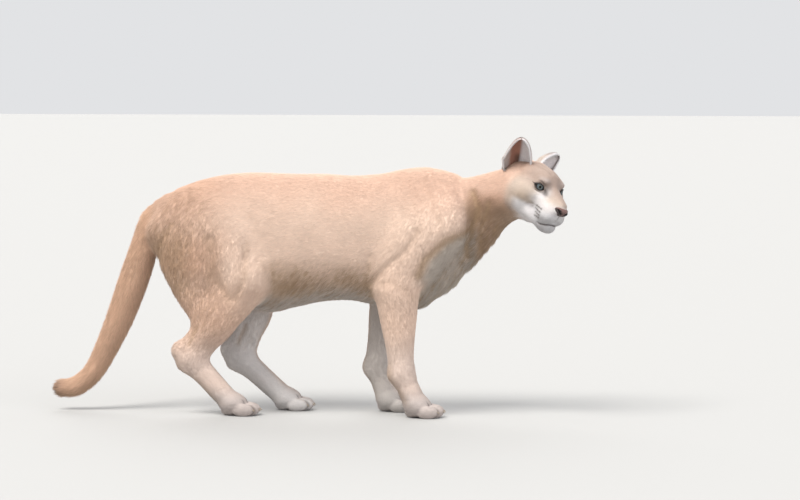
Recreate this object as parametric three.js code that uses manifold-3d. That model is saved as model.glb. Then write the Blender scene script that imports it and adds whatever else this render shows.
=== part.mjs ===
// A life-size cougar standing on four paws, head turned to its right, tail hanging clear of the floor.
// Millimetres. +X is forward, +Y is the animal's left, +Z is up, and the floor is z = 0.
import * as THREE from 'three';
import { LoftGeometry } from 'three/addons/geometries/LoftGeometry.js';
import { mergeVertices } from 'three/addons/utils/BufferGeometryUtils.js';
import Module from 'manifold-3d';

const wasm = await Module();
wasm.setup();

// Driving dimensions
const GAP = 0.3; // air between neighbouring pieces
const BOX_MIDDLE = [13, -17]; // x and y of the middle of the animal's box, brought to the origin
const RIGHT = -1;
const LEFT = 1;

// The trunk: upright sections from the rump to the front of the chest.
// x, height of the back, height of the underside, half width, share of the height where it is widest
const TRUNK = [
  [-412, 596, 508, 34, 0.5],
  [-388, 615, 470, 60, 0.52],
  [-350, 638, 440, 80, 0.54],
  [-290, 659, 410, 92, 0.55],
  [-220, 674, 365, 97, 0.54],
  [-150, 680, 300, 102, 0.5],
  [-90, 679, 285, 108, 0.47],
  [-20, 677, 300, 114, 0.45],
  [60, 677, 316, 117, 0.46],
  [140, 673, 318, 116, 0.47],
  [220, 679, 303, 112, 0.48],
  [290, 692, 292, 105, 0.48],
  [345, 696, 305, 96, 0.5],
  [395, 685, 345, 88, 0.52],
  [430, 668, 384, 74, 0.54],
  [458, 636, 440, 46, 0.54],
];
const TRUNK_ROUNDNESS = 2.25; // 2 is an ellipse, more is boxier

// The neck: sections square to its own line. x, y, z, half height, half width
const NECK = [
  [345, 0, 506, 162, 88],
  [400, 0, 530, 142, 86],
  [452, -2, 555, 116, 79],
  [505, -8, 588, 91, 70],
  [550, -20, 611, 79, 65],
  [594, -42, 628, 75, 62],
];

// The tail's line and thickness. x, z, half thickness
const TAIL = [
  [-385, 572, 40],
  [-425, 540, 45],
  [-452, 474, 44],
  [-486, 375, 46],
  [-524, 272, 43],
  [-566, 178, 37],
  [-606, 108, 33],
  [-652, 70, 32],
  [-690, 63, 30],
];
const TAIL_CUTS = [0.06, 0.4, 0.72]; // shares of the tail's line where its lengths meet

// Where the joints of the legs lie: x, y, z, with y on the left side
const FORE_JOINTS = {
  blade: [340, 46, 655],
  shoulder: [402, 84, 540],
};
const HIND_JOINTS = {
  pelvis: [-318, 50, 610],
  hip: [-342, 62, 560],
  seat: [-388, 46, 505],
};
const LEGS = [
  {
    name: 'right', side: RIGHT,
    elbow: [270, 88, 350], wrist: [282, 74, 124], frontBall: [322, 70, 34],
    knee: [-132, 84, 384], hock: [-312, 72, 160], hindBall: [-196, 70, 34],
  },
  {
    name: 'left', side: LEFT,
    elbow: [238, 88, 352], wrist: [196, 74, 126], frontBall: [230, 70, 34],
    knee: [-104, 86, 420], hock: [-196, 74, 152], hindBall: [-62, 70, 34],
  },
];

// Muscles and bones of a leg. Each station: share of the way between its two joints,
// shift to the rear, half depth fore and aft, half width
const BLADE = [
  [-0.05, 0, 36, 14],
  [0.3, 8, 64, 26],
  [0.7, 12, 80, 36],
  [1.0, 12, 72, 38],
];
const UPPER_ARM = [
  [0.0, 0, 70, 42],
  [0.35, 22, 82, 46],
  [0.7, 22, 74, 44],
  [1.0, 6, 58, 40],
];
const FOREARM = [
  [-0.04, 4, 56, 40],
  [0.15, 0, 59, 42],
  [0.4, 0, 51, 38],
  [0.7, 0, 41, 34],
  [1.0, 0, 37, 33],
];
const FRONT_CANNON = [
  [0.0, 2, 36, 33],
  [0.4, 0, 33, 35],
  [0.85, 0, 33, 41],
];
const THIGH = [
  [-0.05, 10, 84, 40],
  [0.25, 10, 108, 52],
  [0.6, 14, 104, 54],
  [0.95, 8, 64, 42],
];
const HAMSTRING = [
  [-0.05, 0, 44, 32],
  [0.3, -6, 66, 42],
  [0.65, -12, 70, 42],
  [1.0, -4, 46, 34],
];
const HAMSTRING_END = 0.62; // share of the way from knee to hock where the back of the thigh ends
const SHANK = [
  [0.0, 6, 64, 42],
  [0.3, 12, 66, 41],
  [0.6, 8, 54, 35],
  [0.85, 4, 46, 31],
  [1.0, 2, 44, 30],
];
const CORD_START = 0.7; // where the heel cord leaves the shank
const HEEL = { reach: 30, rise: 20, radii: [24, 20], hockRadii: [34, 26] };
const HIND_CANNON = [
  [0.0, 4, 44, 29],
  [0.3, 2, 35, 29],
  [0.7, 2, 32, 33],
  [0.95, 2, 31, 38],
];

// A paw, about the ball of its foot
const PAW = { length: 78, height: 60, frontWidth: 94, hindWidth: 86 };
const PAW_HEIGHT_SHARE = 0.52;
const TOE = { length: 31, halfWidth: 14, halfHeight: 20, sink: 3 };
const TOES = [
  // forward of the ball, share of the paw's half width
  [34, -0.74],
  [48, -0.27],
  [48, 0.27],
  [34, 0.74],
];
const PAD = { back: -6, half: [26, 25, 17], sink: 3 };

// The head in its own frame: forward, left and up from the middle of the eyes
const HEAD = { at: [692, -98, 641], yaw: 42.4, pitch: 20, roll: 12.5, scale: 1.02 };
const HEAD_MIDDLE = [-24, 0, -16]; // every point of its surface is seen from here
const HEAD_BLEND = 11;
// Rounded masses: forward, left, up, and half sizes the same way. Those off the middle come in pairs
const HEAD_MASSES = [
  [[-60, 0, 6], [56, 54, 47]], // brain case
  [[-22, 0, 14], [42, 45, 34]], // forehead
  [[-2, 31, 17], [20, 19, 13]], // brow
  [[-24, 50, -22], [38, 25, 33]], // cheekbone
  [[-48, 48, -40], [42, 31, 44]], // jaw muscle
  [[44, 0, -46], [33, 31, 34]], // muzzle
  [[46, 20, -62], [27, 22, 25]], // whisker pad
  [[46, 0, -91], [26, 23, 21]], // chin
  [[-32, 0, -68], [58, 42, 42]], // throat
  [[-104, 0, -10], [42, 58, 58]], // nape
];
// Tapered bars: two ends with a radius each
const HEAD_BARS = [
  [[0, 0, 2], 22, [66, 0, -28], 18], // bridge of the nose
  [[6, 38, -28], 18, [36, 22, -50], 22], // upper jaw
  [[36, 12, -88], 19, [-46, 44, -60], 26], // lower jaw
];
const EYE = { at: [-4, 38.5, -1], radius: 16.5, aim: [0.8, 0.56, 0.1] };
const SOCKET = { radius: 19, forward: 13 };
const LID = { thickness: 2.6, halfWidth: 15.5, halfHeight: 8.8, slope: 16 };
const NOSE = { at: [71, 0, -38], half: [14, 21, 14], back: 64, zone: [21, 14] };
const NOSTRIL = { at: [83, 11, -40], half: [9, 4.2, 4] };
// The line of the mouth from its corner to below the nose: forward, up
const MOUTH = [[36, -91], [46, -93], [56, -91], [67, -86], [77, -77], [94, -69]];
const LIPS = { opening: 2.6, depth: 0.92 };
const EAR = {
  root: [-92, 51, 31], height: 78, halfWidth: 33, halfDepth: 25, wall: 4, flare: 0.4, swell: 0.1,
  leftLean: [-0.27, 0.78, 0.48], leftFacing: [0.93, 0.3, 0.1],
  rightLean: [0.11, -0.46, 0.88], rightFacing: [0.62, -0.76, 0.12],
  cutAbove: 12,
};

// Where the flesh is parted
const HEAD_CUT = -116; // behind the eyes, in the head's frame
const NECK_CUT = { at: [412, 0, 545], normal: [0.93, 0, 0.36] };
const ZONE_MARGIN = 9; // how far the cuts run outside and beneath a limb's own form
const LEG_INNER = 18; // no leg piece comes nearer to the animal's middle plane
const LEG_REACH = 300; // nor reaches further than half of this from its cut

// How finely each form is divided
const SIDES = { trunk: 22, neck: 18, limb: 10, tail: 12 };
const STEPS = { trunk: 1, neck: 2, limb: 1, tail: 1 };
const HEAD_GRID = [30, 22];
const EAR_GRID = [12, 10];
const TOE_GRID = [8, 5];
const LID_GRID = [14, 10];
const MOUTH_STEPS = 8;
const CAP_TURNS = [20, 52]; // degrees from the pole of a rounded end

// Looks
const COLOURS = {
  coat: 0xc79a72,
  pale: 0xe4d6c6,
  tail: 0xb88a64,
  nose: 0x6b4036,
  eye: 0x8fa39a,
};

// Solids

const degrees = THREE.MathUtils.degToRad;

// A geometry's closed surface as a solid.
function solid(geometry) {
  const bare = new THREE.BufferGeometry()
    .setAttribute('position', geometry.attributes.position)
    .setIndex(geometry.index);
  const merged = mergeVertices(bare, 1e-3);
  return new wasm.Manifold(new wasm.Mesh({
    numProp: 3,
    vertProperties: merged.attributes.position.array,
    triVerts: new Uint32Array(merged.index.array),
  }));
}

function geometryOf(body) {
  const mesh = body.getMesh();
  return new THREE.BufferGeometry()
    .setAttribute('position', new THREE.BufferAttribute(mesh.vertProperties, 3))
    .setIndex(new THREE.BufferAttribute(mesh.triVerts, 1));
}

function joined(bodies) {
  return bodies.reduce((all, body) => all.add(body));
}

function largest(body) {
  return body.decompose().reduce((best, one) => (one.volume() > best.volume() ? one : best));
}

// An ellipsoid with half sizes along the axes of a turned frame.
function ellipsoid(centre, half, turn = new THREE.Quaternion(), grid = TOE_GRID) {
  const geometry = new THREE.SphereGeometry(1, grid[0], grid[1]);
  const placed = new THREE.Matrix4().compose(
    new THREE.Vector3(...centre), turn, new THREE.Vector3(...half));
  return solid(geometry.applyMatrix4(placed));
}

// A block that reaches far to one side of a plane. Shift moves the plane along its normal.
const FAR = 2000;
function halfSpace(point, normal, shift = 0, width = FAR) {
  const direction = new THREE.Vector3(...normal).normalize();
  const turn = new THREE.Quaternion().setFromUnitVectors(new THREE.Vector3(0, 0, 1), direction);
  const geometry = new THREE.BoxGeometry(width, width, width).translate(0, 0, width / 2 + shift);
  geometry.applyQuaternion(turn).translate(...point);
  return solid(geometry);
}

// Lofts

// A point of a curve through rows of numbers, at a share of its length by rows.
function along(rows, share) {
  const place = THREE.MathUtils.clamp(share, 0, 1) * (rows.length - 1);
  const i = Math.min(Math.floor(place), rows.length - 2);
  const t = place - i;
  const row = (k) => rows[THREE.MathUtils.clamp(k, 0, rows.length - 1)];
  return rows[0].map((_, n) => {
    const [a, b, c, d] = [row(i - 1)[n], row(i)[n], row(i + 1)[n], row(i + 2)[n]];
    return b + 0.5 * t * (c - a + t * (2 * a - 5 * b + 4 * c - d + t * (3 * (b - c) + d - a)));
  });
}

const power = (value, exponent) => Math.sign(value) * Math.abs(value) ** exponent;

// The trunk: upright rings, an upper and a lower half that meet where it is widest.
function trunkForm() {
  const count = (TRUNK.length - 1) * STEPS.trunk;
  const sections = [];
  for (let i = 0; i <= count; i++) {
    const [x, top, bottom, half, share] = along(TRUNK, i / count);
    const widest = bottom + share * (top - bottom);
    sections.push(Array.from({ length: SIDES.trunk }, (_, j) => {
      const a = (j / SIDES.trunk) * 2 * Math.PI;
      const across = power(Math.cos(a), 2 / TRUNK_ROUNDNESS);
      const up = power(Math.sin(a), 2 / TRUNK_ROUNDNESS);
      const rise = up > 0 ? top - widest : widest - bottom;
      return new THREE.Vector3(x, half * across, widest + rise * up);
    }));
  }
  return solid(new LoftGeometry(sections, { capStart: true, capEnd: true }));
}

// A tapered form along a line of rows [x, y, z, half depth, half width], with rounded ends.
// Depth lies in the upright plane of the line, width goes across it.
function spindle(rows, steps, sides) {
  const count = (rows.length - 1) * steps;
  const rings = [];
  for (let i = 0; i <= count; i++) {
    const [x, y, z, depth, width] = along(rows, i / count);
    const before = along(rows, Math.max(0, i / count - 0.02));
    const after = along(rows, Math.min(1, i / count + 0.02));
    const forward = new THREE.Vector3(...after).sub(new THREE.Vector3(...before)).normalize();
    rings.push({ centre: new THREE.Vector3(x, y, z), forward, depth, width });
  }
  const capped = [];
  const cap = (ring, sign, turn) => {
    const reach = Math.min(ring.depth, ring.width) * Math.cos(degrees(turn)) * sign;
    const shrink = Math.sin(degrees(turn));
    capped.push({
      centre: ring.centre.clone().addScaledVector(ring.forward, reach),
      forward: ring.forward,
      depth: ring.depth * shrink,
      width: ring.width * shrink,
    });
  };
  CAP_TURNS.forEach((turn) => cap(rings[0], -1, turn));
  capped.push(...rings);
  [...CAP_TURNS].reverse().forEach((turn) => cap(rings[count], 1, turn));
  const sections = capped.map(({ centre, forward, depth, width }) => {
    const across = new THREE.Vector3(0, 1, 0).addScaledVector(forward, -forward.y).normalize();
    const deep = new THREE.Vector3().crossVectors(across, forward);
    return Array.from({ length: sides }, (_, j) => {
      const a = (j / sides) * 2 * Math.PI;
      return centre.clone()
        .addScaledVector(deep, -depth * Math.cos(a))
        .addScaledVector(across, -width * Math.sin(a));
    });
  });
  return outward(solid(new LoftGeometry(sections, { capStart: true, capEnd: true })), sections);
}

// A loft whose rings wind the other way is turned right side out.
function outward(body, sections) {
  if (body.volume() > 0) return body;
  const turned = sections.map((ring) => [...ring].reverse());
  return solid(new LoftGeometry(turned, { capStart: true, capEnd: true }));
}

// Stations of a muscle between two joints, as rows for a spindle.
function between(from, to, side, stations) {
  const start = new THREE.Vector3(from[0], from[1] * side, from[2]);
  const end = new THREE.Vector3(to[0], to[1] * side, to[2]);
  const line = end.clone().sub(start);
  const rear = new THREE.Vector3(line.z, 0, -line.x).normalize();
  return stations.map(([share, back, depth, width]) => {
    const at = start.clone().addScaledVector(line, share).addScaledVector(rear, back);
    return [at.x, at.y, at.z, depth, width];
  });
}

// The same rows with thicker sections.
function fatter(rows, extra) {
  return rows.map((row) => [...row.slice(0, 3), row[3] + extra, row[4] + extra]);
}

function mix(a, b, share) {
  return a.map((value, i) => value + share * (b[i] - value));
}

// Legs

// One paw: a low body, four toes and the pad under the ball, all cut level at the floor later.
function pawForm(ball, side, width) {
  const [x, y] = [ball[0], ball[1] * side];
  const half = width / 2;
  const body = ellipsoid(
    [x + 6, y, PAW.height * (1 - PAW_HEIGHT_SHARE) + 2],
    [PAW.length / 2, half, PAW.height * PAW_HEIGHT_SHARE], undefined, [10, 8]);
  const toes = TOES.map(([forward, share]) => ellipsoid(
    [x + forward, y + share * half, TOE.halfHeight - TOE.sink],
    [TOE.length, TOE.halfWidth, TOE.halfHeight]));
  const pad = ellipsoid([x + PAD.back, y, PAD.half[2] - PAD.sink], PAD.half);
  return joined([body, ...toes, pad]);
}

// The forms of a leg by name. Extra makes them fatter, for the zones that part the flesh.
function forelegForms(leg, extra = 0) {
  const limb = (from, to, stations) => spindle(
    fatter(between(from, to, leg.side, stations), extra), STEPS.limb, SIDES.limb);
  return {
    upper_arm: [
      limb(FORE_JOINTS.blade, FORE_JOINTS.shoulder, BLADE),
      limb(FORE_JOINTS.shoulder, leg.elbow, UPPER_ARM),
    ],
    forearm: [limb(leg.elbow, leg.wrist, FOREARM)],
    cannon: [limb(leg.wrist, leg.frontBall, FRONT_CANNON)],
  };
}

function hindLegForms(leg, extra = 0) {
  const limb = (from, to, stations) => spindle(
    fatter(between(from, to, leg.side, stations), extra), STEPS.limb, SIDES.limb);
  const calf = mix(leg.knee, leg.hock, HAMSTRING_END);
  const cord = mix(leg.knee, leg.hock, CORD_START);
  const heel = [leg.hock[0] - HEEL.reach, leg.hock[1], leg.hock[2] + HEEL.rise];
  return {
    thigh: [
      limb(HIND_JOINTS.hip, leg.knee, THIGH),
      limb(HIND_JOINTS.seat, calf, HAMSTRING),
    ],
    shank: [
      limb(leg.knee, leg.hock, SHANK),
      limb(cord, heel, [[0, 0, ...HEEL.radii], [1, 0, ...HEEL.radii]]),
      limb(heel, leg.hock, [[0, 0, ...HEEL.radii], [1, 0, ...HEEL.hockRadii]]),
    ],
    cannon: [limb(leg.hock, leg.hindBall, HIND_CANNON)],
  };
}

function legForm(leg) {
  return joined([
    ...Object.values(forelegForms(leg)).flat(),
    ...Object.values(hindLegForms(leg)).flat(),
    pawForm(leg.frontBall, leg.side, PAW.frontWidth),
    pawForm(leg.hindBall, leg.side, PAW.hindWidth),
  ]);
}

// Head

const headTurn = new THREE.Quaternion().setFromEuler(new THREE.Euler(
  degrees(-HEAD.roll), degrees(HEAD.pitch), degrees(-HEAD.yaw), 'ZYX'));
const headFrame = new THREE.Matrix4().compose(
  new THREE.Vector3(...HEAD.at), headTurn,
  new THREE.Vector3(HEAD.scale, HEAD.scale, HEAD.scale));

// A point and a direction of the head's own frame, in the part's frame.
const headPoint = (local) => new THREE.Vector3(...local).applyMatrix4(headFrame).toArray();
const headDirection = (local) => new THREE.Vector3(...local).applyQuaternion(headTurn).toArray();
const headScaled = (half) => half.map((value) => value * HEAD.scale);
const mirrored = ([forward, left, up]) => [forward, -left, up];

// Distance to an ellipsoid, good near its surface.
function ellipsoidDistance(p, centre, half) {
  const q = p.map((value, i) => (value - centre[i]) / half[i]);
  const near = Math.hypot(...q);
  const steep = Math.hypot(...q.map((value, i) => value / half[i]));
  return (near * (near - 1)) / Math.max(steep, 1e-6);
}

function barDistance(p, a, radiusA, b, radiusB) {
  const line = b.map((value, i) => value - a[i]);
  const offset = p.map((value, i) => value - a[i]);
  const dot = (u, v) => u[0] * v[0] + u[1] * v[1] + u[2] * v[2];
  const share = THREE.MathUtils.clamp(dot(offset, line) / dot(line, line), 0, 1);
  return Math.hypot(...offset.map((value, i) => value - share * line[i]))
    - (radiusA + share * (radiusB - radiusA));
}

// The lesser of two distances, rounded where they are alike.
function blended(a, b, width) {
  const overlap = Math.max(width - Math.abs(a - b), 0) / width;
  return Math.min(a, b) - (overlap * overlap * width) / 4;
}

// How far a point of the head's frame is outside its flesh.
function headDistance([forward, left, up]) {
  const p = [forward, Math.abs(left), up];
  let distance = Infinity;
  for (const [centre, half] of HEAD_MASSES) {
    distance = blended(distance, ellipsoidDistance(p, centre, half), HEAD_BLEND);
  }
  for (const [a, radiusA, b, radiusB] of HEAD_BARS) {
    distance = blended(distance, barDistance(p, a, radiusA, b, radiusB), HEAD_BLEND);
  }
  const socket = EYE.at.map((value, i) => value + EYE.aim[i] * SOCKET.forward);
  const hollow = Math.hypot(...p.map((value, i) => value - socket[i])) - SOCKET.radius * 0.72;
  return -blended(-distance, hollow, HEAD_BLEND / 2);
}

// The head's flesh: a sphere whose points are pushed out from its middle to the surface.
function headForm(grow = 1) {
  const geometry = new THREE.SphereGeometry(1, HEAD_GRID[0], HEAD_GRID[1]);
  geometry.rotateZ(-Math.PI / 2);
  const points = geometry.attributes.position;
  for (let i = 0; i < points.count; i++) {
    const ray = [points.getX(i), points.getY(i), points.getZ(i)];
    let [inner, outer] = [10, 190];
    for (let turn = 0; turn < 40; turn++) {
      const middle = (inner + outer) / 2;
      const at = HEAD_MIDDLE.map((value, k) => value + ray[k] * middle);
      if (headDistance(at) < 0) inner = middle;
      else outer = middle;
    }
    points.setXYZ(i, ...HEAD_MIDDLE.map((value, k) => value + ray[k] * inner * grow));
  }
  return solid(geometry.applyMatrix4(headFrame));
}

// Two lids over an eye: a thin shell round the eyeball, open in an almond.
function lidForms(side) {
  const at = side === LEFT ? EYE.at : mirrored(EYE.at);
  const aim = side === LEFT ? EYE.aim : mirrored(EYE.aim);
  const outer = (EYE.radius + LID.thickness) * HEAD.scale;
  const cover = ellipsoid(headPoint(at), [outer, outer, outer], undefined, LID_GRID);
  const turn = new THREE.Quaternion().setFromUnitVectors(
    new THREE.Vector3(1, 0, 0), new THREE.Vector3(...headDirection(aim)).normalize());
  const tilt = new THREE.Quaternion().setFromAxisAngle(
    new THREE.Vector3(1, 0, 0), degrees(side * LID.slope - HEAD.roll));
  const centre = new THREE.Vector3(...headPoint(at))
    .addScaledVector(new THREE.Vector3(...headDirection(aim)).normalize(), outer);
  const opening = ellipsoid(centre.toArray(), headScaled([18, LID.halfWidth, LID.halfHeight]),
    turn.clone().multiply(tilt), LID_GRID);
  return { cover, opening };
}

function eyeForm(side, grow = 0) {
  const at = side === LEFT ? EYE.at : mirrored(EYE.at);
  const radius = EYE.radius * HEAD.scale + grow;
  return ellipsoid(headPoint(at), [radius, radius, radius], undefined, LID_GRID);
}

// A thin curved sheet along the line of the mouth, right across the muzzle.
function mouthSheet(half) {
  const line = Array.from({ length: MOUTH_STEPS + 1 }, (_, i) => along(MOUTH, i / MOUTH_STEPS));
  const outline = [
    ...line.map(([forward, up]) => [forward, up + half]),
    ...[...line].reverse().map(([forward, up]) => [forward, up - half]),
  ];
  const shape = new THREE.Shape(outline.map(([forward, up]) => new THREE.Vector2(forward, up)));
  const geometry = new THREE.ExtrudeGeometry(shape, { depth: 120, bevelEnabled: false });
  geometry.translate(0, 0, -60).rotateX(Math.PI / 2);
  return solid(geometry.applyMatrix4(headFrame));
}

// The part of the head below the line of the mouth and ahead of its corner.
function jawZone(grow) {
  const line = Array.from({ length: MOUTH_STEPS + 1 }, (_, i) => along(MOUTH, i / MOUTH_STEPS));
  const back = MOUTH[0][0];
  const outline = [
    [back - 40 - grow, -150], [back - 28 - grow, -112 + grow], [back - grow, line[0][1] + grow],
    ...line.map(([forward, up]) => [forward, up + grow]), [140, -58 + grow], [140, -150],
  ];
  const shape = new THREE.Shape(outline.map(([forward, up]) => new THREE.Vector2(forward, up)));
  const geometry = new THREE.ExtrudeGeometry(shape, { depth: 160, bevelEnabled: false });
  geometry.translate(0, 0, -80).rotateX(Math.PI / 2);
  return solid(geometry.applyMatrix4(headFrame));
}

// An ear: a deep cup with a rounded tip, open on its facing side.
function earFrame(side) {
  const up = new THREE.Vector3(...(side === LEFT ? EAR.leftLean : EAR.rightLean)).normalize();
  const facing = new THREE.Vector3(...(side === LEFT ? EAR.leftFacing : EAR.rightFacing));
  facing.addScaledVector(up, -facing.dot(up)).normalize();
  const across = new THREE.Vector3().crossVectors(up, facing);
  const basis = new THREE.Matrix4().makeBasis(facing, across, up);
  const root = side === LEFT ? EAR.root : mirrored(EAR.root);
  return headFrame.clone().multiply(basis.setPosition(...root));
}

function earForm(side) {
  const flared = (geometry) => {
    const points = geometry.attributes.position;
    for (let i = 0; i < points.count; i++) {
      const rise = THREE.MathUtils.clamp(points.getZ(i) / EAR.height, 0, 1);
      const outer = points.getY(i) * side > 0;
      const flare = 1 + (outer ? EAR.flare : EAR.swell) * (1 - rise) ** 2;
      points.setY(i, points.getY(i) * flare);
    }
    return geometry.applyMatrix4(earFrame(side));
  };
  const shell = (depth, width, height, shift) => solid(flared(
    new THREE.SphereGeometry(1, EAR_GRID[0], EAR_GRID[1])
      .rotateX(Math.PI / 2)
      .scale(depth, width, height)
      .translate(shift, 0, 0)));
  const outer = shell(EAR.halfDepth, EAR.halfWidth, EAR.height, 0);
  const inner = shell(EAR.halfDepth, EAR.halfWidth - EAR.wall, EAR.height - EAR.wall,
    EAR.wall + 3);
  const front = new THREE.Vector3(1, 0, 0).transformDirection(earFrame(side)).toArray();
  const mouth = headPoint(side === LEFT ? EAR.root : mirrored(EAR.root));
  return outer.subtract(inner).subtract(halfSpace(mouth, front, 6));
}

// The zone above an ear's root.
function earZone(side, grow) {
  const lean = new THREE.Vector3(...(side === LEFT ? EAR.leftLean : EAR.rightLean)).normalize();
  const root = new THREE.Vector3(...(side === LEFT ? EAR.root : mirrored(EAR.root)))
    .addScaledVector(lean, EAR.cutAbove);
  return halfSpace(headPoint(root.toArray()), headDirection(lean.toArray()), -grow, 200 + 2 * grow);
}

// Assembly

const head = headForm();
const nose = ellipsoid(headPoint(NOSE.at), headScaled(NOSE.half), headTurn, LID_GRID);
const lids = [LEFT, RIGHT].map(lidForms);
const mouthGroove = mouthSheet(LIPS.opening / 2).subtract(headForm(LIPS.depth));
const nostrils = [NOSTRIL.at, mirrored(NOSTRIL.at)].map(
  (at) => ellipsoid(headPoint(at), headScaled(NOSTRIL.half), headTurn));

let headFlesh = joined([head, nose, ...lids.map((lid) => lid.cover)]);
headFlesh = headFlesh.subtract(mouthGroove);
[...lids.map((lid) => lid.opening), ...nostrils, eyeForm(LEFT, GAP), eyeForm(RIGHT, GAP)]
  .forEach((cutter) => { headFlesh = headFlesh.subtract(cutter); });

const tailRows = TAIL.map(([x, z, radius]) => [x, 0, z, radius, radius]);
const aboveFloor = halfSpace([0, 0, 0], [0, 0, 1]);
let flesh = joined([
  trunkForm(),
  spindle(NECK, STEPS.neck, SIDES.neck),
  spindle(tailRows, STEPS.tail, SIDES.tail),
  ...LEGS.map(legForm),
]);
flesh = flesh.add(headFlesh).add(earForm(LEFT)).add(earForm(RIGHT));
[eyeForm(LEFT, GAP), eyeForm(RIGHT, GAP)].forEach((eye) => { flesh = flesh.subtract(eye); });
flesh = flesh.intersect(aboveFloor);

// Each node in turn is what of the remaining flesh lies in its zone; the rest keeps its distance.
const nodes = [];
function take(name, zone, colour) {
  const piece = largest(flesh.intersect(zone(0)));
  flesh = largest(flesh.subtract(zone(GAP)));
  nodes.push([name, piece, colour]);
}

// What lies beyond a plane across a limb, no nearer to the animal's middle than a given side.
function beyond(at, direction, side, grow) {
  const half = halfSpace(at, direction, -grow, LEG_REACH + 2 * grow);
  const inner = side * (LEG_INNER - grow);
  const outer = side * 400;
  const slab = new THREE.BoxGeometry(FAR, Math.abs(outer - inner), FAR);
  return half.intersect(solid(slab.translate(0, (inner + outer) / 2, 0)));
}

take('ear_right', (grow) => earZone(RIGHT, grow), COLOURS.coat);
take('ear_left', (grow) => earZone(LEFT, grow), COLOURS.coat);
const noseZone = (grow) => {
  const [across, tall] = NOSE.zone;
  const low = [NOSE.back, -across, NOSE.at[2] - tall];
  const high = [120, across, NOSE.at[2] + tall];
  const size = high.map((value, i) => value - low[i] + 2 * grow);
  const middle = high.map((value, i) => (value + low[i]) / 2);
  return solid(new THREE.BoxGeometry(...size).translate(...middle).applyMatrix4(headFrame));
};
take('nose', noseZone, COLOURS.nose);
take('lower_jaw', jawZone, COLOURS.pale);
take('head', (grow) => halfSpace(headPoint([HEAD_CUT, 0, 0]), headDirection([1, 0, 0.1]), -grow, 420 + 2 * grow),
  COLOURS.pale);
take('neck', (grow) => halfSpace(NECK_CUT.at, NECK_CUT.normal, -grow), COLOURS.coat);

const tailLine = TAIL.map(([x, z]) => [x, 0, z]);
[['tail_tip', TAIL_CUTS[2]], ['tail_middle', TAIL_CUTS[1]], ['tail_base', TAIL_CUTS[0]]]
  .forEach(([name, share]) => {
    const at = along(tailLine, share);
    const next = along(tailLine, share + 0.03);
    const direction = next.map((value, i) => value - at[i]);
    take(name, (grow) => halfSpace(at, direction, -grow).intersect(
      spindle(fatter(tailRows, ZONE_MARGIN + grow), STEPS.tail, SIDES.tail)), COLOURS.tail);
  });

function legNodes(leg) {
  const { side } = leg;
  const name = (part) => `${part}_${leg.name}`;
  const place = (joint) => [joint[0], joint[1] * side, joint[2]];
  // A cut across a bent limb lies half way between the directions of its two lengths.
  const cut = (part, before, joint, after, share) => {
    const [a, b, c] = [place(before), place(joint), place(after)]
      .map((point) => new THREE.Vector3(...point));
    const direction = b.clone().sub(a).normalize().add(c.clone().sub(b).normalize());
    const at = b.clone().lerp(c, share);
    take(name(part), (grow) => beyond(at.toArray(), direction.toArray(), side, grow),
      COLOURS.pale);
  };
  cut('front_paw', leg.elbow, leg.wrist, leg.frontBall, 0.1);
  cut('hind_paw', leg.hock, leg.hock.map((v, i) => v + 0.7 * (leg.hindBall[i] - v)),
    leg.hindBall, 0.1);
  cut('hind_cannon', leg.knee, leg.hock, leg.hindBall, 0);
  [['forearm', forelegForms], ['upper_arm', forelegForms],
    ['shank', hindLegForms], ['thigh', hindLegForms]].forEach(([part, forms]) => {
    take(name(part), (grow) => joined(forms(leg, ZONE_MARGIN + grow)[part]), COLOURS.coat);
  });
}
LEGS.forEach(legNodes);
nodes.push(['torso', flesh, COLOURS.coat]);
nodes.push(['eye_left', eyeForm(LEFT), COLOURS.eye]);
nodes.push(['eye_right', eyeForm(RIGHT), COLOURS.eye]);

const cougar = new THREE.Group();
cougar.position.set(-BOX_MIDDLE[0], -BOX_MIDDLE[1], 0);
for (const [name, body, colour] of nodes) {
  const mesh = new THREE.Mesh(geometryOf(body), new THREE.MeshStandardMaterial({
    color: colour,
    roughness: name.startsWith('eye') ? 0.1 : 0.85,
    metalness: 0,
  }));
  mesh.name = name;
  cougar.add(mesh);
}

export default cougar;
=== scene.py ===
"""A life-size cougar on four paws: skin, coat, eyes, nose, whiskers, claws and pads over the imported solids.

The animal's own sizes are in millimetres, in the axes of the part's source (+X forward, +Y its left,
+Z up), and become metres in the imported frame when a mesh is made.
"""
import math

import bmesh
import bpy
import numpy as np
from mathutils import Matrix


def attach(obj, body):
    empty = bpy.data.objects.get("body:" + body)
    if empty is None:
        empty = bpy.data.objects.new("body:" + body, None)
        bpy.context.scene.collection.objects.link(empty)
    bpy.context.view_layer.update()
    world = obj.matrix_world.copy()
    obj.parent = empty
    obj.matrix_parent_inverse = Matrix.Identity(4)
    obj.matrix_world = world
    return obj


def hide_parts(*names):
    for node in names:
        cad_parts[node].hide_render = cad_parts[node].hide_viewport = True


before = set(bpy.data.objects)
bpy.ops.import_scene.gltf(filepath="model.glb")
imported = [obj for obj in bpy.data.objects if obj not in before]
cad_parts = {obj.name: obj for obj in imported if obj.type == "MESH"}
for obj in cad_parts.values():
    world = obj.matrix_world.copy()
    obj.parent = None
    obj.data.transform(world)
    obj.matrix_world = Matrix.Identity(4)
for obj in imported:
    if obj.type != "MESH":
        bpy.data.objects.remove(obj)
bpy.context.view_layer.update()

bl_info = {
    "name": "Standing Cougar",
    "version": (1, 0, 0),
    "blender": (4, 5, 0),
    "location": "3D View > Sidebar > Cougar",
    "description": "Dresses the packed solids of a standing cougar with skin, short fur, eyes and claws",
    "category": "Object",
}

MM = 0.001
BOX_MIDDLE = np.array([13.0, -17.0, 0.0])  # the animal's origin, measured from the frame's, in millimetres
FLESH_NODES = [
    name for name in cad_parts
    if not name.startswith(("eye_", "nose"))
]
SEED = 20

# The body's own sizes, as in the part's source

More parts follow.
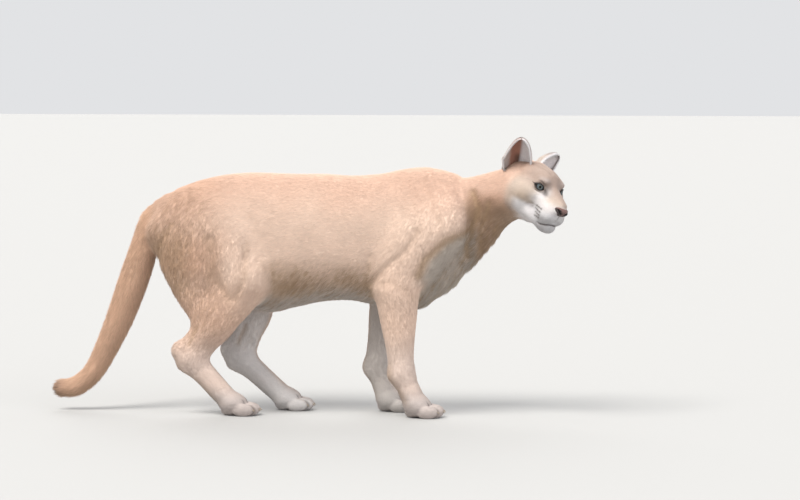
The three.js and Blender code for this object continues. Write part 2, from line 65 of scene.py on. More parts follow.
# x, height of the back, height of the underside, half width, share of the height where it is widest
TRUNK = np.array([
    [-412, 596, 508, 34, 0.5],
    [-388, 615, 470, 60, 0.52],
    [-350, 638, 440, 80, 0.54],
    [-290, 659, 410, 92, 0.55],
    [-220, 674, 365, 97, 0.54],
    [-150, 680, 300, 102, 0.5],
    [-90, 679, 285, 108, 0.47],
    [-20, 677, 300, 114, 0.45],
    [60, 677, 316, 117, 0.46],
    [140, 673, 318, 116, 0.47],
    [220, 679, 303, 112, 0.48],
    [290, 692, 292, 105, 0.48],
    [345, 696, 305, 96, 0.5],
    [395, 685, 345, 88, 0.52],
    [430, 668, 384, 74, 0.54],
    [458, 636, 440, 46, 0.54],
])
TRUNK_ROUNDNESS = 2.25
# x, y, z, half height, half width
NECK = np.array([
    [345, 0, 506, 162, 88],
    [400, 0, 530, 142, 86],
    [452, -2, 555, 116, 79],
    [505, -8, 588, 91, 70],
    [550, -20, 611, 79, 65],
    [594, -42, 628, 75, 62],
])
# x, z, half thickness
TAIL = np.array([
    [-385, 572, 40],
    [-425, 540, 45],
    [-452, 474, 44],
    [-486, 375, 46],
    [-524, 272, 43],
    [-566, 178, 37],
    [-606, 108, 33],
    [-652, 70, 32],
    [-690, 63, 30],
])
BLADE_TOP = [340, 46, 655]
SHOULDER = [402, 84, 540]
HIP = [-342, 62, 560]
SEAT = [-388, 46, 505]
LEGS = {
    "right": {
        "side": -1,
        "elbow": [270, 88, 350], "wrist": [282, 74, 124], "front_ball": [322, 70, 34],
        "knee": [-132, 84, 384], "hock": [-312, 72, 160], "hind_ball": [-196, 70, 34],
    },
    "left": {
        "side": 1,
        "elbow": [238, 88, 352], "wrist": [196, 74, 126], "front_ball": [230, 70, 34],
        "knee": [-104, 86, 420], "hock": [-196, 74, 152], "hind_ball": [-62, 70, 34],
    },
}
# Share of the way between two joints, shift to the rear, half depth fore and aft, half width
BLADE = [[-0.05, 0, 36, 14], [0.3, 8, 64, 26], [0.7, 12, 80, 36], [1.0, 12, 72, 38]]
UPPER_ARM = [[0.0, 0, 70, 42], [0.35, 22, 82, 46], [0.7, 22, 74, 44], [1.0, 6, 58, 40]]
FOREARM = [[-0.04, 4, 56, 40], [0.15, 0, 59, 42], [0.4, 0, 51, 38], [0.7, 0, 41, 34], [1.0, 0, 37, 33]]
FRONT_CANNON = [[0.0, 2, 36, 33], [0.4, 0, 33, 35], [0.85, 0, 33, 41]]
THIGH = [[-0.05, 10, 84, 40], [0.25, 10, 108, 52], [0.6, 14, 104, 54], [0.95, 8, 64, 42]]
HAMSTRING = [[-0.05, 0, 44, 32], [0.3, -6, 66, 42], [0.65, -12, 70, 42], [1.0, -4, 46, 34]]
HAMSTRING_END = 0.62
SHANK = [[0.0, 6, 64, 42], [0.3, 12, 66, 41], [0.6, 8, 54, 35], [0.85, 4, 46, 31], [1.0, 2, 44, 30]]
CORD_START = 0.7
HEEL = {"reach": 30, "rise": 20, "radii": [24, 20], "hock_radii": [34, 26]}
HIND_CANNON = [[0.0, 4, 44, 29], [0.3, 2, 35, 29], [0.7, 2, 32, 33], [0.95, 2, 31, 38]]
PAW = {"length": 78, "height": 60, "front": 94, "hind": 86, "height_share": 0.52}
TOE_HALF = [31, 14, 20]
TOES = [[34, -0.74], [48, -0.27], [48, 0.27], [34, 0.74]]  # ahead of the ball, share of the half width
TOE_SINK = 3
PAD_HALF = [26, 25, 17]
PAD_BACK = -6

# The head in its own frame: forward, left and up from the middle of the eyes
HEAD_AT = np.array([692.0, -98.0, 641.0])
HEAD_TURN = (42.4, 20.0, 12.5)  # turned to its right, nose down, left side down, in degrees
HEAD_SCALE = 1.02
HEAD_MASSES = [
    [[-60, 0, 6], [56, 54, 47]],  # brain case
    [[-22, 0, 14], [42, 45, 34]],  # forehead
    [[-2, 31, 17], [20, 19, 13]],  # brow
    [[-24, 50, -22], [38, 25, 33]],  # cheekbone
    [[-48, 48, -40], [42, 31, 44]],  # jaw muscle
    [[44, 0, -46], [33, 31, 34]],  # muzzle
    [[46, 20, -62], [27, 22, 25]],  # whisker pad
    [[46, 0, -91], [26, 23, 21]],  # chin
    [[-32, 0, -68], [58, 42, 42]],  # throat
    [[-104, 0, -10], [42, 58, 58]],  # nape
]
HEAD_BARS = [
    [[0, 0, 2], 22, [66, 0, -28], 18],  # bridge of the nose
    [[6, 38, -28], 18, [36, 22, -50], 22],  # upper jaw
    [[36, 12, -88], 19, [-46, 44, -60], 26],  # lower jaw
]
HEAD_BLEND = 13.0
HEAD_MIDDLE = [34, 0, 24]  # how far the skull's middle is behind and below the middle of the eyes
EYE_AT = np.array([-4.0, 38.5, -1.0])
EYE_RADIUS = 16.5
EYE_AIM = np.array([0.8, 0.56, 0.1])
SOCKET = {"ahead": 13, "radius": 13.5, "blend": 6}  # the hollow in front of each eye
LID = {"thickness": 2.4, "half_width": 15.5, "upper": 8.2, "lower": 7.2, "slope": 16.0,
       "fold_above": 4.5, "fold_depth": 1.4}
MOUTH_CENTRE = np.array([20.0, 0.0, -75.0])
LIP_DEPTH = 3.2  # how deep the line of the mouth and the split of the lip are pressed in
MOUTH = np.array([[35, -88], [45, -90], [56, -87], [67, -81], [77, -72], [94, -63]])  # forward, up


# Small mathematics on whole arrays

def unit(vectors):
    """Each vector divided by its own length."""
    vectors = np.asarray(vectors, float)
    return vectors / np.maximum(np.linalg.norm(vectors, axis=-1, keepdims=True), 1e-9)


def smooth_step(low, high, value):
    """0 below low, 1 above high, and 3t2 - 2t3 between."""
    t = np.clip((value - low) / (high - low), 0, 1)
    return t * t * (3 - 2 * t)


def along(rows, share):
    """Points of the Catmull-Rom curve through rows, at shares 0 to 1 of the count of rows."""
    rows = np.asarray(rows, float)
    place = np.clip(np.asarray(share, float), 0, 1) * (len(rows) - 1)
    i = np.minimum(place.astype(int), len(rows) - 2)
    t = (place - i)[:, None]
    a, b, c, d = (rows[np.clip(i + k, 0, len(rows) - 1)] for k in (-1, 0, 1, 2))
    return b + 0.5 * t * (c - a + t * (2 * a - 5 * b + 4 * c - d + t * (3 * (b - c) + d - a)))


def signed_power(value, exponent):
    """The size of a value raised to an exponent, with its own sign."""
    return np.sign(value) * np.abs(value) ** exponent


def blended(a, b, width):
    """The lesser of two distances, less a quarter of width where they are equal, so that creases fill."""
    overlap = np.maximum(width - np.abs(a - b), 0) / width
    return np.minimum(a, b) - overlap * overlap * width / 4


def turn_matrix(yaw, pitch, roll):
    """The product of a turn about up by -yaw, about left by pitch and about forward by -roll."""
    z, y, x = (math.radians(angle) for angle in (-yaw, pitch, -roll))
    about_up = np.array([[math.cos(z), -math.sin(z), 0], [math.sin(z), math.cos(z), 0], [0, 0, 1]])
    about_left = np.array([[math.cos(y), 0, math.sin(y)], [0, 1, 0], [-math.sin(y), 0, math.cos(y)]])
    about_forward = np.array([[1, 0, 0], [0, math.cos(x), -math.sin(x)], [0, math.sin(x), math.cos(x)]])
    return about_up @ about_left @ about_forward


HEAD_AXES = turn_matrix(*HEAD_TURN)


def from_head(local):
    """Points of the head's frame, in the animal's."""
    return np.asarray(local, float) * HEAD_SCALE @ HEAD_AXES.T + HEAD_AT


def to_head(points):
    """Points of the animal's frame, in the head's."""
    return (points - HEAD_AT) @ HEAD_AXES / HEAD_SCALE


def folded(local):
    """Points of the head's frame with those of its right side mirrored onto its left."""
    return local * [1, 0, 1] + np.abs(local) * [0, 1, 0]


# Forms are rows of x, y, z, half depth and half width, carried along a line

def rows_between(start, end, side, stations, steps=3):
    """Stations at shares of the way between two joints, shifted to the rear across that way, smoothed."""
    start, end = (np.array(point, float) * [1, side, 1] for point in (start, end))
    line = end - start
    rear = unit([line[2], 0, -line[0]])
    share, back, depth, width = np.array(stations, float).T
    centres = start + share[:, None] * line + back[:, None] * rear
    rows = np.column_stack([centres, depth, width])
    return along(rows, np.linspace(0, 1, (len(rows) - 1) * steps + 1))


def mix(a, b, share):
    """The point a share of the way from a to b."""
    return np.asarray(a, float) * (1 - share) + np.asarray(b, float) * share


def leg_forms(leg):
    """Each form of one side's two legs: its rows and the width over which it blends with the rest."""
    side = leg["side"]
    calf = mix(leg["knee"], leg["hock"], HAMSTRING_END)
    cord = mix(leg["knee"], leg["hock"], CORD_START)
    heel = [leg["hock"][0] - HEEL["reach"], leg["hock"][1], leg["hock"][2] + HEEL["rise"]]
    plain, thick = HEEL["radii"], HEEL["hock_radii"]
    return [
        (rows_between(BLADE_TOP, SHOULDER, side, BLADE), 40),
        (rows_between(SHOULDER, leg["elbow"], side, UPPER_ARM), 44),
        (rows_between(leg["elbow"], leg["wrist"], side, FOREARM), 26),
        (rows_between(leg["wrist"], leg["front_ball"], side, FRONT_CANNON), 22),
        (rows_between(HIP, leg["knee"], side, THIGH), 46),
        (rows_between(SEAT, calf, side, HAMSTRING), 44),
        (rows_between(leg["knee"], leg["hock"], side, SHANK), 30),
        (rows_between(cord, heel, side, [[0, 0, *plain], [1, 0, *plain]]), 22),
        (rows_between(heel, leg["hock"], side, [[0, 0, *plain], [1, 0, *thick]]), 22),
        (rows_between(leg["hock"], leg["hind_ball"], side, HIND_CANNON), 22),
    ]


def paws_of(leg):
    """Where the balls of one side's two paws are, forward and left, and each paw's half width."""
    for end in ("front", "hind"):
        ball = leg[end + "_ball"]
        yield ball[0], ball[1] * leg["side"], PAW[end] / 2


def paw_masses(leg):
    """The rounded masses of one side's two paws: middle, half sizes and blend width."""
    masses = []
    share = PAW["height_share"]
    for x, y, half in paws_of(leg):
        masses.append(([x + 6, y, PAW["height"] * (1 - share) + 2],
                       [PAW["length"] / 2, half, PAW["height"] * share], 14))
        masses += [([x + ahead, y + across * half, TOE_HALF[2] - TOE_SINK], TOE_HALF, 5)
                   for ahead, across in TOES]
        masses.append(([x + PAD_BACK, y, PAD_HALF[2] - TOE_SINK], PAD_HALF, 6))
    return masses


def smoothed(rows, steps):
    """Rows on the curve through rows, steps to each length between two."""
    return along(rows, np.linspace(0, 1, (len(rows) - 1) * steps + 1))


TAIL_ROWS = smoothed(np.column_stack(
    [TAIL[:, 0], np.zeros(len(TAIL)), TAIL[:, 1], TAIL[:, 2], TAIL[:, 2]]), 3)
LINE_FORMS = [(smoothed(NECK, 3), 46), (TAIL_ROWS, 26)]
ROUND_MASSES = []
for one_leg in LEGS.values():
    LINE_FORMS += leg_forms(one_leg)
    ROUND_MASSES += paw_masses(one_leg)
FAR = 300.0  # millimetres past which a form is left out
NEAR_MASS, NEAR_HEAD, NECK_BLEND = 120, 260, 22


def ring_axes(forward):
    """The upright direction across a line and the sideways one, for each forward direction."""
    across = unit(np.array([0.0, 1.0, 0.0]) - forward * forward[..., 1:2])
    return np.cross(across, forward), across


def line_distance(points, rows):
    """How far points are outside a form with an oval section carried along rows, and its direction there.

    On each length the offset is divided by the oval's half sizes; far - far / near is the way to
    the oval along the offset, and the least over the lengths counts."""
    distance = np.full(len(points), FAR)
    direction = np.zeros((len(points), 3))
    reach = rows[:, 3:5].max() + 60
    inside = ((points > rows[:, :3].min(0) - reach) & (points < rows[:, :3].max(0) + reach)).all(1)
    some = points[inside]
    best = np.full(len(some), FAR)
    best_way = np.zeros((len(some), 3))
    for a, b in zip(rows[:-1], rows[1:]):
        line = b[:3] - a[:3]
        length = np.linalg.norm(line)
        forward = line / length
        deep, across = ring_axes(forward)
        offset = some - a[:3]
        share = np.clip(offset @ forward / length, 0, 1)
        depth = a[3] + share * (b[3] - a[3])
        width = a[4] + share * (b[4] - a[4])
        rest = offset - share[:, None] * line
        far = np.linalg.norm(rest, axis=1)
        near = np.sqrt((rest @ deep / depth) ** 2 + (rest @ across / width) ** 2
                       + (rest @ forward / np.minimum(depth, width)) ** 2)
        value = far - far / np.maximum(near, 1e-6)
        closer = value < best
        best = np.where(closer, value, best)
        best_way[closer] = forward
    distance[inside] = best
    direction[inside] = best_way
    return distance, direction


def mass_distance(points, centre, half):
    """How far points are outside an ellipsoid: q (q - 1) / |grad q|, where q is the scaled radius."""
    scaled = (points - centre) / half
    near = np.linalg.norm(scaled, axis=1)
    steep = np.linalg.norm(scaled / half, axis=1)
    return near * (near - 1) / np.maximum(steep, 1e-6)


def bar_distance(points, a, radius_a, b, radius_b):
    """How far points are outside a bar whose radius runs evenly from one end to the other."""
    a, b = np.array(a, float), np.array(b, float)
    line = b - a
    share = np.clip((points - a) @ line / (line @ line), 0, 1)
    rest = points - a - share[:, None] * line
    return np.linalg.norm(rest, axis=1) - (radius_a + share * (radius_b - radius_a))


def trunk_distance(points):
    """How far points are outside the trunk: along the way from its middle line at the same x."""
    x = TRUNK[:, 0]
    count = len(TRUNK) - 1
    share = np.interp(points[:, 0], x, np.arange(count + 1) / count)
    _, top, bottom, half, widest = along(TRUNK, share).T
    middle = bottom + widest * (top - bottom)
    up = points[:, 2] - middle
    rise = np.where(up > 0, top - middle, middle - bottom)
    across = np.abs(points[:, 1])
    near = ((across / half) ** TRUNK_ROUNDNESS
            + (np.abs(up) / rise) ** TRUNK_ROUNDNESS) ** (1 / TRUNK_ROUNDNESS)
    far = np.hypot(across, up)
    value = far - far / np.maximum(near, 1e-6)
    past = np.maximum(x[0] - points[:, 0], points[:, 0] - x[-1])
    return np.where(past > 0, np.hypot(np.maximum(value, 0), past), value)


def head_distance(local):
    """How far points of the head's frame are outside its flesh, lids left out."""
    p = folded(local)
    distance = np.full(len(p), FAR)
    for centre, half in HEAD_MASSES:
        distance = blended(distance, mass_distance(p, centre, half), HEAD_BLEND)
    for bar in HEAD_BARS:
        distance = blended(distance, bar_distance(p, *bar), HEAD_BLEND)
    socket = EYE_AT + EYE_AIM * SOCKET["ahead"]
    hollow = np.linalg.norm(p - socket, axis=1) - SOCKET["radius"]
    distance = -blended(-distance, hollow, SOCKET["blend"])
    lids = np.linalg.norm(p - EYE_AT, axis=1) - EYE_RADIUS - LID["thickness"]
    return blended(distance, lids, SOCKET["blend"])


def flesh_distance(points):
    """How far points are outside the whole animal's outline, all forms blended."""
    distance = trunk_distance(points)
    for rows, width in LINE_FORMS:
        distance = blended(distance, line_distance(points, rows)[0], width)
    for centre, half, width in ROUND_MASSES:
        near = np.abs(points - centre).max(1) < NEAR_MASS
        if near.any():
            distance[near] = blended(distance[near], mass_distance(points[near], centre, half), width)
    local = to_head(points)
    near = np.linalg.norm(local + [20, 0, 20], axis=1) < NEAR_HEAD
    if near.any():
        distance[near] = blended(distance[near], head_distance(local[near]) * HEAD_SCALE, NECK_BLEND)
    return distance


def slope(field, points, step=0.6):
    """A field's value and its steepest direction, by differences."""
    value = field(points)
    ahead = [field(points + step * axis) for axis in np.eye(3)]
    return value, (np.stack(ahead, 1) - value[:, None]) / step


def settle(points, field, depth, rounds):
    """Moves points to where the field is -depth, each time by its value along its slope."""
    for _ in range(rounds):
        value, way = slope(field, points)
        step = (value + depth) / np.maximum((way ** 2).sum(1), 0.2)
        points = points - np.clip(step, -14, 14)[:, None] * way
    return points


# Meshes

def placed(name, data):
    """A new object in the scene for a mesh, light or camera."""
    piece = bpy.data.objects.new(name, data)
    bpy.context.scene.collection.objects.link(piece)
    return piece


def new_piece(name, points, faces):
    """A mesh object from points in the animal's millimetres."""
    mesh = bpy.data.meshes.new(name)
    mesh.from_pydata((np.asarray(points) - BOX_MIDDLE) * MM, [], faces)
    mesh.update()
    mesh.shade_smooth()
    return placed(name, mesh)


def mesh_points(mesh):
    """A mesh's points, in the animal's millimetres."""
    flat = np.empty(len(mesh.vertices) * 3)
    mesh.vertices.foreach_get("co", flat)
    return flat.reshape(-1, 3) / MM + BOX_MIDDLE


def set_points(mesh, points):
    """Moves a mesh's points to places in the animal's millimetres."""
    mesh.vertices.foreach_set("co", ((points - BOX_MIDDLE) * MM).ravel())
    mesh.update()


def grid_faces(rows, columns, wrap=True):
    """Four-sided faces between neighbouring rings of points, columns to a ring."""
    j = np.arange(columns if wrap else columns - 1)
    k = (j + 1) % columns
    i = np.arange(rows - 1)[:, None] * columns
    return np.stack([i + j, i + k, i + k + columns, i + j + columns], -1).reshape(-1, 4)


def capped(rings):
    """Points and faces of rings of points closed by a point at each end."""
    rows, columns = rings.shape[:2]
    points = np.concatenate([rings.reshape(-1, 3), rings[:1].mean(1), rings[-1:].mean(1)])
    first, last = rows * columns, rows * columns + 1
    j = np.arange(columns)
    k = (j + 1) % columns
    base = (rows - 1) * columns
    start = np.column_stack([k, j, np.full(columns, first)])
    end = np.column_stack([base + j, base + k, np.full(columns, last)])
    return points, [*grid_faces(rows, columns).tolist(), *start.tolist(), *end.tolist()]


def oval_rings(rows, sides=20):
    """Rings of a form carried along rows: centre + depth cos a deep + width sin a across, rounded ends."""
    centres, depth, width = rows[:, :3], rows[:, 3], rows[:, 4]
    forward = unit(np.gradient(centres, axis=0))
    turns = np.radians([15, 45, 70])
    reach = np.minimum(depth, width)
    head = [centres[0] - forward[0] * reach[0] * np.cos(turns)[:, None]]
    tail = [centres[-1] + forward[-1] * reach[-1] * np.cos(turns[::-1])[:, None]]
    centres = np.concatenate([head[0], centres, tail[0]])
    forward = np.concatenate([[forward[0]] * 3, forward, [forward[-1]] * 3])
    shrink = np.concatenate([np.sin(turns), np.ones(len(rows)), np.sin(turns[::-1])])
    depth = np.concatenate([[depth[0]] * 3, depth, [depth[-1]] * 3]) * shrink
    width = np.concatenate([[width[0]] * 3, width, [width[-1]] * 3]) * shrink
    deep, across = ring_axes(forward)
    a = np.linspace(0, 2 * np.pi, sides, endpoint=False)[None, :, None]
    return (centres[:, None] + depth[:, None, None] * np.cos(a) * deep[:, None]
            + width[:, None, None] * np.sin(a) * across[:, None])


def trunk_rings(sides=36):
    """Upright rings of the trunk, an upper and a lower half of a rounded oval each."""
    rows = smoothed(TRUNK, 3)
    a = np.linspace(0, 2 * np.pi, sides, endpoint=False)[None]
    x, top, bottom, half, widest = (column[:, None] for column in rows.T)
    middle = bottom + widest * (top - bottom)
    across = signed_power(np.cos(a), 2 / TRUNK_ROUNDNESS)
    up = signed_power(np.sin(a), 2 / TRUNK_ROUNDNESS)
    rise = np.where(up > 0, top - middle, middle - bottom)
    return np.stack([x + 0 * a, half * across, middle + rise * up], -1)


def ball_rings(centre, half, rows=14, columns=20):
    """Rings of an ellipsoid from near one end of its x axis to near the other."""
    b = np.linspace(0, np.pi, rows + 2)[1:-1][:, None]
    a = np.linspace(0, 2 * np.pi, columns, endpoint=False)[None]
    ring = np.stack([-np.cos(b) + 0 * a, np.sin(b) * np.cos(a), np.sin(b) * np.sin(a)], -1)
    return np.asarray(centre) + ring * half


def merged(parts):
    """Points and faces of many parts as one."""
    points, faces, count = [], [], 0
    for some, sides in parts:
        points.append(some)
        faces += [[count + corner for corner in side] for side in sides]
        count += len(some)
    return np.concatenate(points), faces


def applied(piece):
    """Makes a piece's modifiers part of its mesh."""
    depsgraph = bpy.context.evaluated_depsgraph_get()
    mesh = bpy.data.meshes.new_from_object(piece.evaluated_get(depsgraph))
    old = piece.data
    piece.modifiers.clear()
    piece.data = mesh
    bpy.data.meshes.remove(old)


def refine(mesh, chosen):
    """Divides the chosen faces in four."""
    shape = bmesh.new()
    shape.from_mesh(mesh)
    shape.faces.ensure_lookup_table()
    edges = {edge for index in np.flatnonzero(chosen) for edge in shape.faces[index].edges}
    bmesh.ops.subdivide_edges(shape, edges=list(edges), cuts=1, use_grid_fill=True)
    shape.to_mesh(mesh)
    shape.free()


def face_middles(mesh):
    """The middles of a mesh's faces, in the animal's millimetres."""
    flat = np.empty(len(mesh.polygons) * 3)
    mesh.polygons.foreach_get("center", flat)
    return flat.reshape(-1, 3) / MM + BOX_MIDDLE


def relaxed(points, mesh, rounds):
    """Moves each point half the way to the mean of its neighbours, rounds times."""
    pairs = np.empty(len(mesh.edges) * 2, int)
    mesh.edges.foreach_get("vertices", pairs)
    a, b = pairs.reshape(-1, 2).T
    ends = np.concatenate([a, b])
    count = np.maximum(np.bincount(ends, minlength=len(points)), 1)
    for _ in range(rounds):
        mean = np.column_stack([
            np.bincount(ends, np.concatenate([points[b, k], points[a, k]]), minlength=len(points)) / count
            for k in range(3)])
        points = points + 0.5 * (mean - points)
    return points


def carries(piece, slot_name, *nodes):
    """Fixes a piece to the animal and hides the imported nodes it stands for; slot_name is not used."""
    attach(piece, "root")
    if nodes:
        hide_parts(*nodes)


# Settings

def colour_setting(name, description, default):
    """A colour setting with a default of its own."""
    return bpy.props.FloatVectorProperty(
        name=name, description=description, subtype="COLOR", size=3, min=0, max=1, default=default)


def length_setting(name, description, default):
    """A length setting in metres, never below 0."""
    return bpy.props.FloatProperty(name=name, description=description, default=default, min=0, unit="LENGTH")


class CougarSizes(bpy.types.PropertyGroup):
    """How finely the animal is made, and the length of its coat."""
    skin_pitch: length_setting("Skin pitch", "Size of the skin's faces on the body", 0.0067)
    body_hair: length_setting("Body hair", "Length of the tufts on back and flank", 0.0125)
    belly_hair: length_setting("Belly hair", "Length of the tufts under the belly and the throat", 0.021)
    tail_hair: length_setting("Tail hair", "Length of the tufts on the tail", 0.018)
    leg_hair: length_setting("Leg hair", "Length of the tufts on the lower legs", 0.0082)
    face_hair: length_setting("Face hair", "Length of the tufts around eyes and nose", 0.0042)
    whisker: length_setting("Whisker", "Length of the longest whiskers", 0.075)
    tufts: bpy.props.IntProperty(name="Tufts", description="How many tufts the whole coat has",
                                 default=345000, min=1000, max=370000)


class CougarColours(bpy.types.PropertyGroup):
    """The colours of the coat, the bare skin, the eyes and the stage."""
    back: colour_setting("Back", "Coat along the back and on the neck's top", (0.74, 0.5, 0.385))
    flank: colour_setting("Flank", "Coat of the flank and the upper legs", (0.81, 0.605, 0.485))
    # The belly edge's brown also paints the shade in the skin's folds
    edge: colour_setting("Belly edge", "Longer brown hair along the lower flank", (0.35, 0.23, 0.135))
    pale: colour_setting("Pale", "Belly, groin and inner legs", (0.52, 0.49, 0.465))
    thigh: colour_setting("Thigh", "Rear of the thigh and the shank", (0.50, 0.285, 0.185))
    cream: colour_setting("Cream", "Lower legs", (0.7, 0.57, 0.5))
    paw: colour_setting("Paw", "Paws", (0.50, 0.44, 0.415))
    tail: colour_setting("Tail", "Tail", (0.66, 0.415, 0.285))
    tail_tip: colour_setting("Tail tip", "End of the tail", (0.26, 0.165, 0.115))
    # The throat colour is dark brown as painted shade under the neck and in its folds
    throat: colour_setting("Throat", "Throat and lower neck", (0.24, 0.155, 0.09))
    cheek: colour_setting("Cheek", "Cheeks", (0.6, 0.5, 0.425))
    forehead: colour_setting("Forehead", "Forehead and crown", (0.43, 0.325, 0.275))
    white: colour_setting("White", "Muzzle, chin and the patches by the eyes", (0.8, 0.775, 0.78))
    # The dark colour also paints the shade between the toes
    dark: colour_setting("Dark", "Streaks behind the whiskers and marks by the ears", (0.06, 0.042, 0.034))
    ear_inside: colour_setting("Inner ear", "Skin inside the ears", (0.36, 0.17, 0.12))
    ear_back: colour_setting("Ear back", "Fur on the back of the ears", (0.36, 0.31, 0.29))
    lid_rim: colour_setting("Lid rim", "Bare rims of the lids", (0.018, 0.014, 0.013))
    nose: colour_setting("Nose", "Bare skin of the nose", (0.165, 0.085, 0.073))
    nostril: colour_setting("Nostril", "Inside of the nostrils", (0.012, 0.008, 0.008))
    iris: colour_setting("Iris", "Iris of the eyes", (0.1, 0.13, 0.145))
    pad: colour_setting("Pad", "Pads under the paws", (0.055, 0.042, 0.038))
    claw: colour_setting("Claw", "Claws", (0.35, 0.28, 0.21))
    floor: colour_setting("Floor", "The floor", (0.43, 0.43, 0.425))


def colours():
    """The scene's colour settings."""
    return bpy.context.scene.cougar_colours


def sizes():
    """The scene's size settings."""
    return bpy.context.scene.cougar_sizes


def millimetres(length):
    """A length in metres, in millimetres."""
    return length / MM


# Which way the coat lies, how long it is and its colours, as functions of place

# Lie of the hair on each of a leg's forms, in the order of leg_forms; None is along the form
LEG_LIES = [[-0.6, 0, -0.8], [-0.45, 0, -0.9], None, None, [-0.35, 0, -0.94], [-0.1, 0, -1.0],
            None, None, None, None]
REGIONS = ["trunk", "neck", "tail", "head", "front_right", "hind_right", "front_left", "hind_left"]
REGION_FALL = 9.0  # millimetres over which a region's share falls
FRONT_COLUMNS = (4, 6)  # where each side's front leg is in REGIONS, its hind leg after it
FRONT_FORMS = 4  # how many of leg_forms are the front leg's


def regions_of(points):
    """Each point's share in each region, from e^(-distance / fall), and the way its hair lies."""
    count = len(points)
    near = np.full((count, len(REGIONS)), FAR)
    lies = np.zeros((count, len(REGIONS), 3))
    near[:, 0] = trunk_distance(points)
    fall = 0.16 + 0.85 * smooth_step(480, 370, points[:, 2]) + 0.6 * smooth_step(310, 400, points[:, 0])
    lies[:, 0, 0] = -1
    lies[:, 0, 2] = -fall
    near[:, 1], forward = line_distance(points, LINE_FORMS[0][0])
    lies[:, 1] = -forward + [0, 0, -0.12]
    near[:, 2], lies[:, 2] = line_distance(points, TAIL_ROWS)
    local = to_head(points)
    near[:, 3] = np.linalg.norm(local + HEAD_MIDDLE, axis=1) - 92
    close = near[:, 3] < 120
    near[close, 3] = head_distance(local[close])
    away = local - [96, 0, -46]
    away = away - [0, 0, 0.35] * np.abs(local[:, 1:2])
    lies[:, 3] = unit(away) @ HEAD_AXES.T
    for front, leg in zip(FRONT_COLUMNS, LEGS.values()):
        for number, (rows, _) in enumerate(leg_forms(leg)):
            column = front + (number >= FRONT_FORMS)
            distance, way = line_distance(points, rows)
            if LEG_LIES[number]:
                way[:] = LEG_LIES[number]
            closer = distance < near[:, column]
            near[closer, column] = distance[closer]
            lies[closer, column] = way[closer]
        for column, (x, y, _) in enumerate(paws_of(leg), front):
            distance = mass_distance(points, np.array([x + 12, y, 26]), [62, 48, 34])
            closer = distance < near[:, column]
            near[closer, column] = distance[closer]
            lies[closer, column] = [1, 0, -0.35]
    share = np.exp(-(near - near.min(1, keepdims=True)) / REGION_FALL)
    share /= share.sum(1, keepdims=True)
    return share, unit((lies * share[..., None]).sum(1))


def coat_depth(points):
    """How deep the skin lies below the coat's tips, in millimetres."""
    height = points[:, 2]
    local = to_head(points)
    near_head = smooth_step(300, 200, np.linalg.norm(local, axis=1))
    face = smooth_step(-130, -40, local[:, 0]) * near_head
    tail = smooth_step(-395, -440, points[:, 0])
    paw = smooth_step(90, 40, height) * (1 - tail)
    depth = 3.0 + 2.5 * smooth_step(250, 420, height)
    depth += (2.2 - depth) * face
    depth += (1.8 - depth) * paw
    return depth + (7.0 - depth) * tail


def spot(points, centre, half):
    """1 at a centre, falling to 0 by e^(-q squared), where q is the offset over the half sizes."""
    return np.exp(-(((points - centre) / half) ** 2).sum(1))


def lay(base, colour, share):
    """Part of a colour laid over the colours that are there."""
    share = np.clip(share, 0, 1)[..., None]
    return base * (1 - share) + np.asarray(colour) * share


def layered(base, layers):
    """A colour per row of base with layers laid over it in turn, each a colour and how much of it shows."""
    for colour, share in layers:
        base = lay(base, colour, share)
    return base


def bell(distance, half):
    """1 at no distance, falling to 0 by e^(-(distance / half) squared)."""
    return np.exp(-(distance / half) ** 2)


def line_gap(points, line):
    """The least distance of flat points from a line of straight lengths, and the share of the way along."""
    line = np.asarray(line, float)
    best = np.full(len(points), 1e9)
    place = np.zeros(len(points))
    for i, (a, b) in enumerate(zip(line[:-1], line[1:])):
        step = b - a
        share = np.clip((points - a) @ step / (step @ step), 0, 1)
        gap = np.linalg.norm(points - a - share[:, None] * step, axis=1)
        closer = gap < best
        best[closer] = gap[closer]
        place[closer] = (i + share[closer]) / (len(line) - 1)
    return best, place


# Folds of the skin, as forward and up, with half width, depth and how dark the painted shade in them is
FOLDS = [
    ([[484, 630], [498, 588], [486, 540], [470, 490], [467, 451]], 11, 6.0, 0.85),
    ([[528, 602], [517, 560], [506, 504], [500, 462]], 9, 4.0, 0.75),
    ([[481, 529], [408, 496], [352, 445], [334, 400]], 13, 4.0, 0.75),
    ([[201, 378], [251, 428], [299, 468], [330, 520]], 13, 6.0, 0.12),
    ([[214, 384], [255, 380], [296, 364], [318, 340]], 11, 1.8, 0.16),
    ([[196, 350], [190, 400], [200, 450]], 12, 4.0, 0.15),
    ([[345, 655], [372, 600], [392, 545]], 16, 3.5, 0.06),
    ([[-250, 498], [-236, 392], [-197, 330]], 15, 4.5, 0.22),
    ([[-147, 482], [-155, 378], [-180, 330]], 11, 3.5, 0.22),
    ([[-359, 540], [-393, 490], [-404, 434]], 10, 4.0, 0.35),
]
HOCK_FOLD = ([[23, 92], [0, 42]], 6, 2.5, 0.5)  # forward and up from the hock


def folds_at(points):
    """How deep the folds are at each point and how dark their painted shade is: e^(-(distance / half width)
    squared) of each line.
    """
    depth = np.zeros(len(points))
    dark = np.zeros(len(points))
    aside = smooth_step(15, 40, np.abs(points[:, 1]))
    lines = [(line, width, deep, shade, aside) for line, width, deep, shade in FOLDS]
    for leg in LEGS.values():
        line, width, deep, shade = HOCK_FOLD
        hock = np.array([leg["hock"][0], leg["hock"][2]])
        lines.append((hock + line, width, deep, shade, aside * (points[:, 1] * leg["side"] > 0)))
    for line, width, deep, shade, mask in lines:
        gap, _ = line_gap(points[:, [0, 2]], line)
        share = bell(gap, width) * mask
        depth = np.maximum(depth, deep * share)
        dark = np.maximum(dark, shade * share)
    return depth, dark


def skin_depth(points):
    """How deep the skin lies below the coat's tips, with its folds."""
    return coat_depth(points) + folds_at(points)[0]


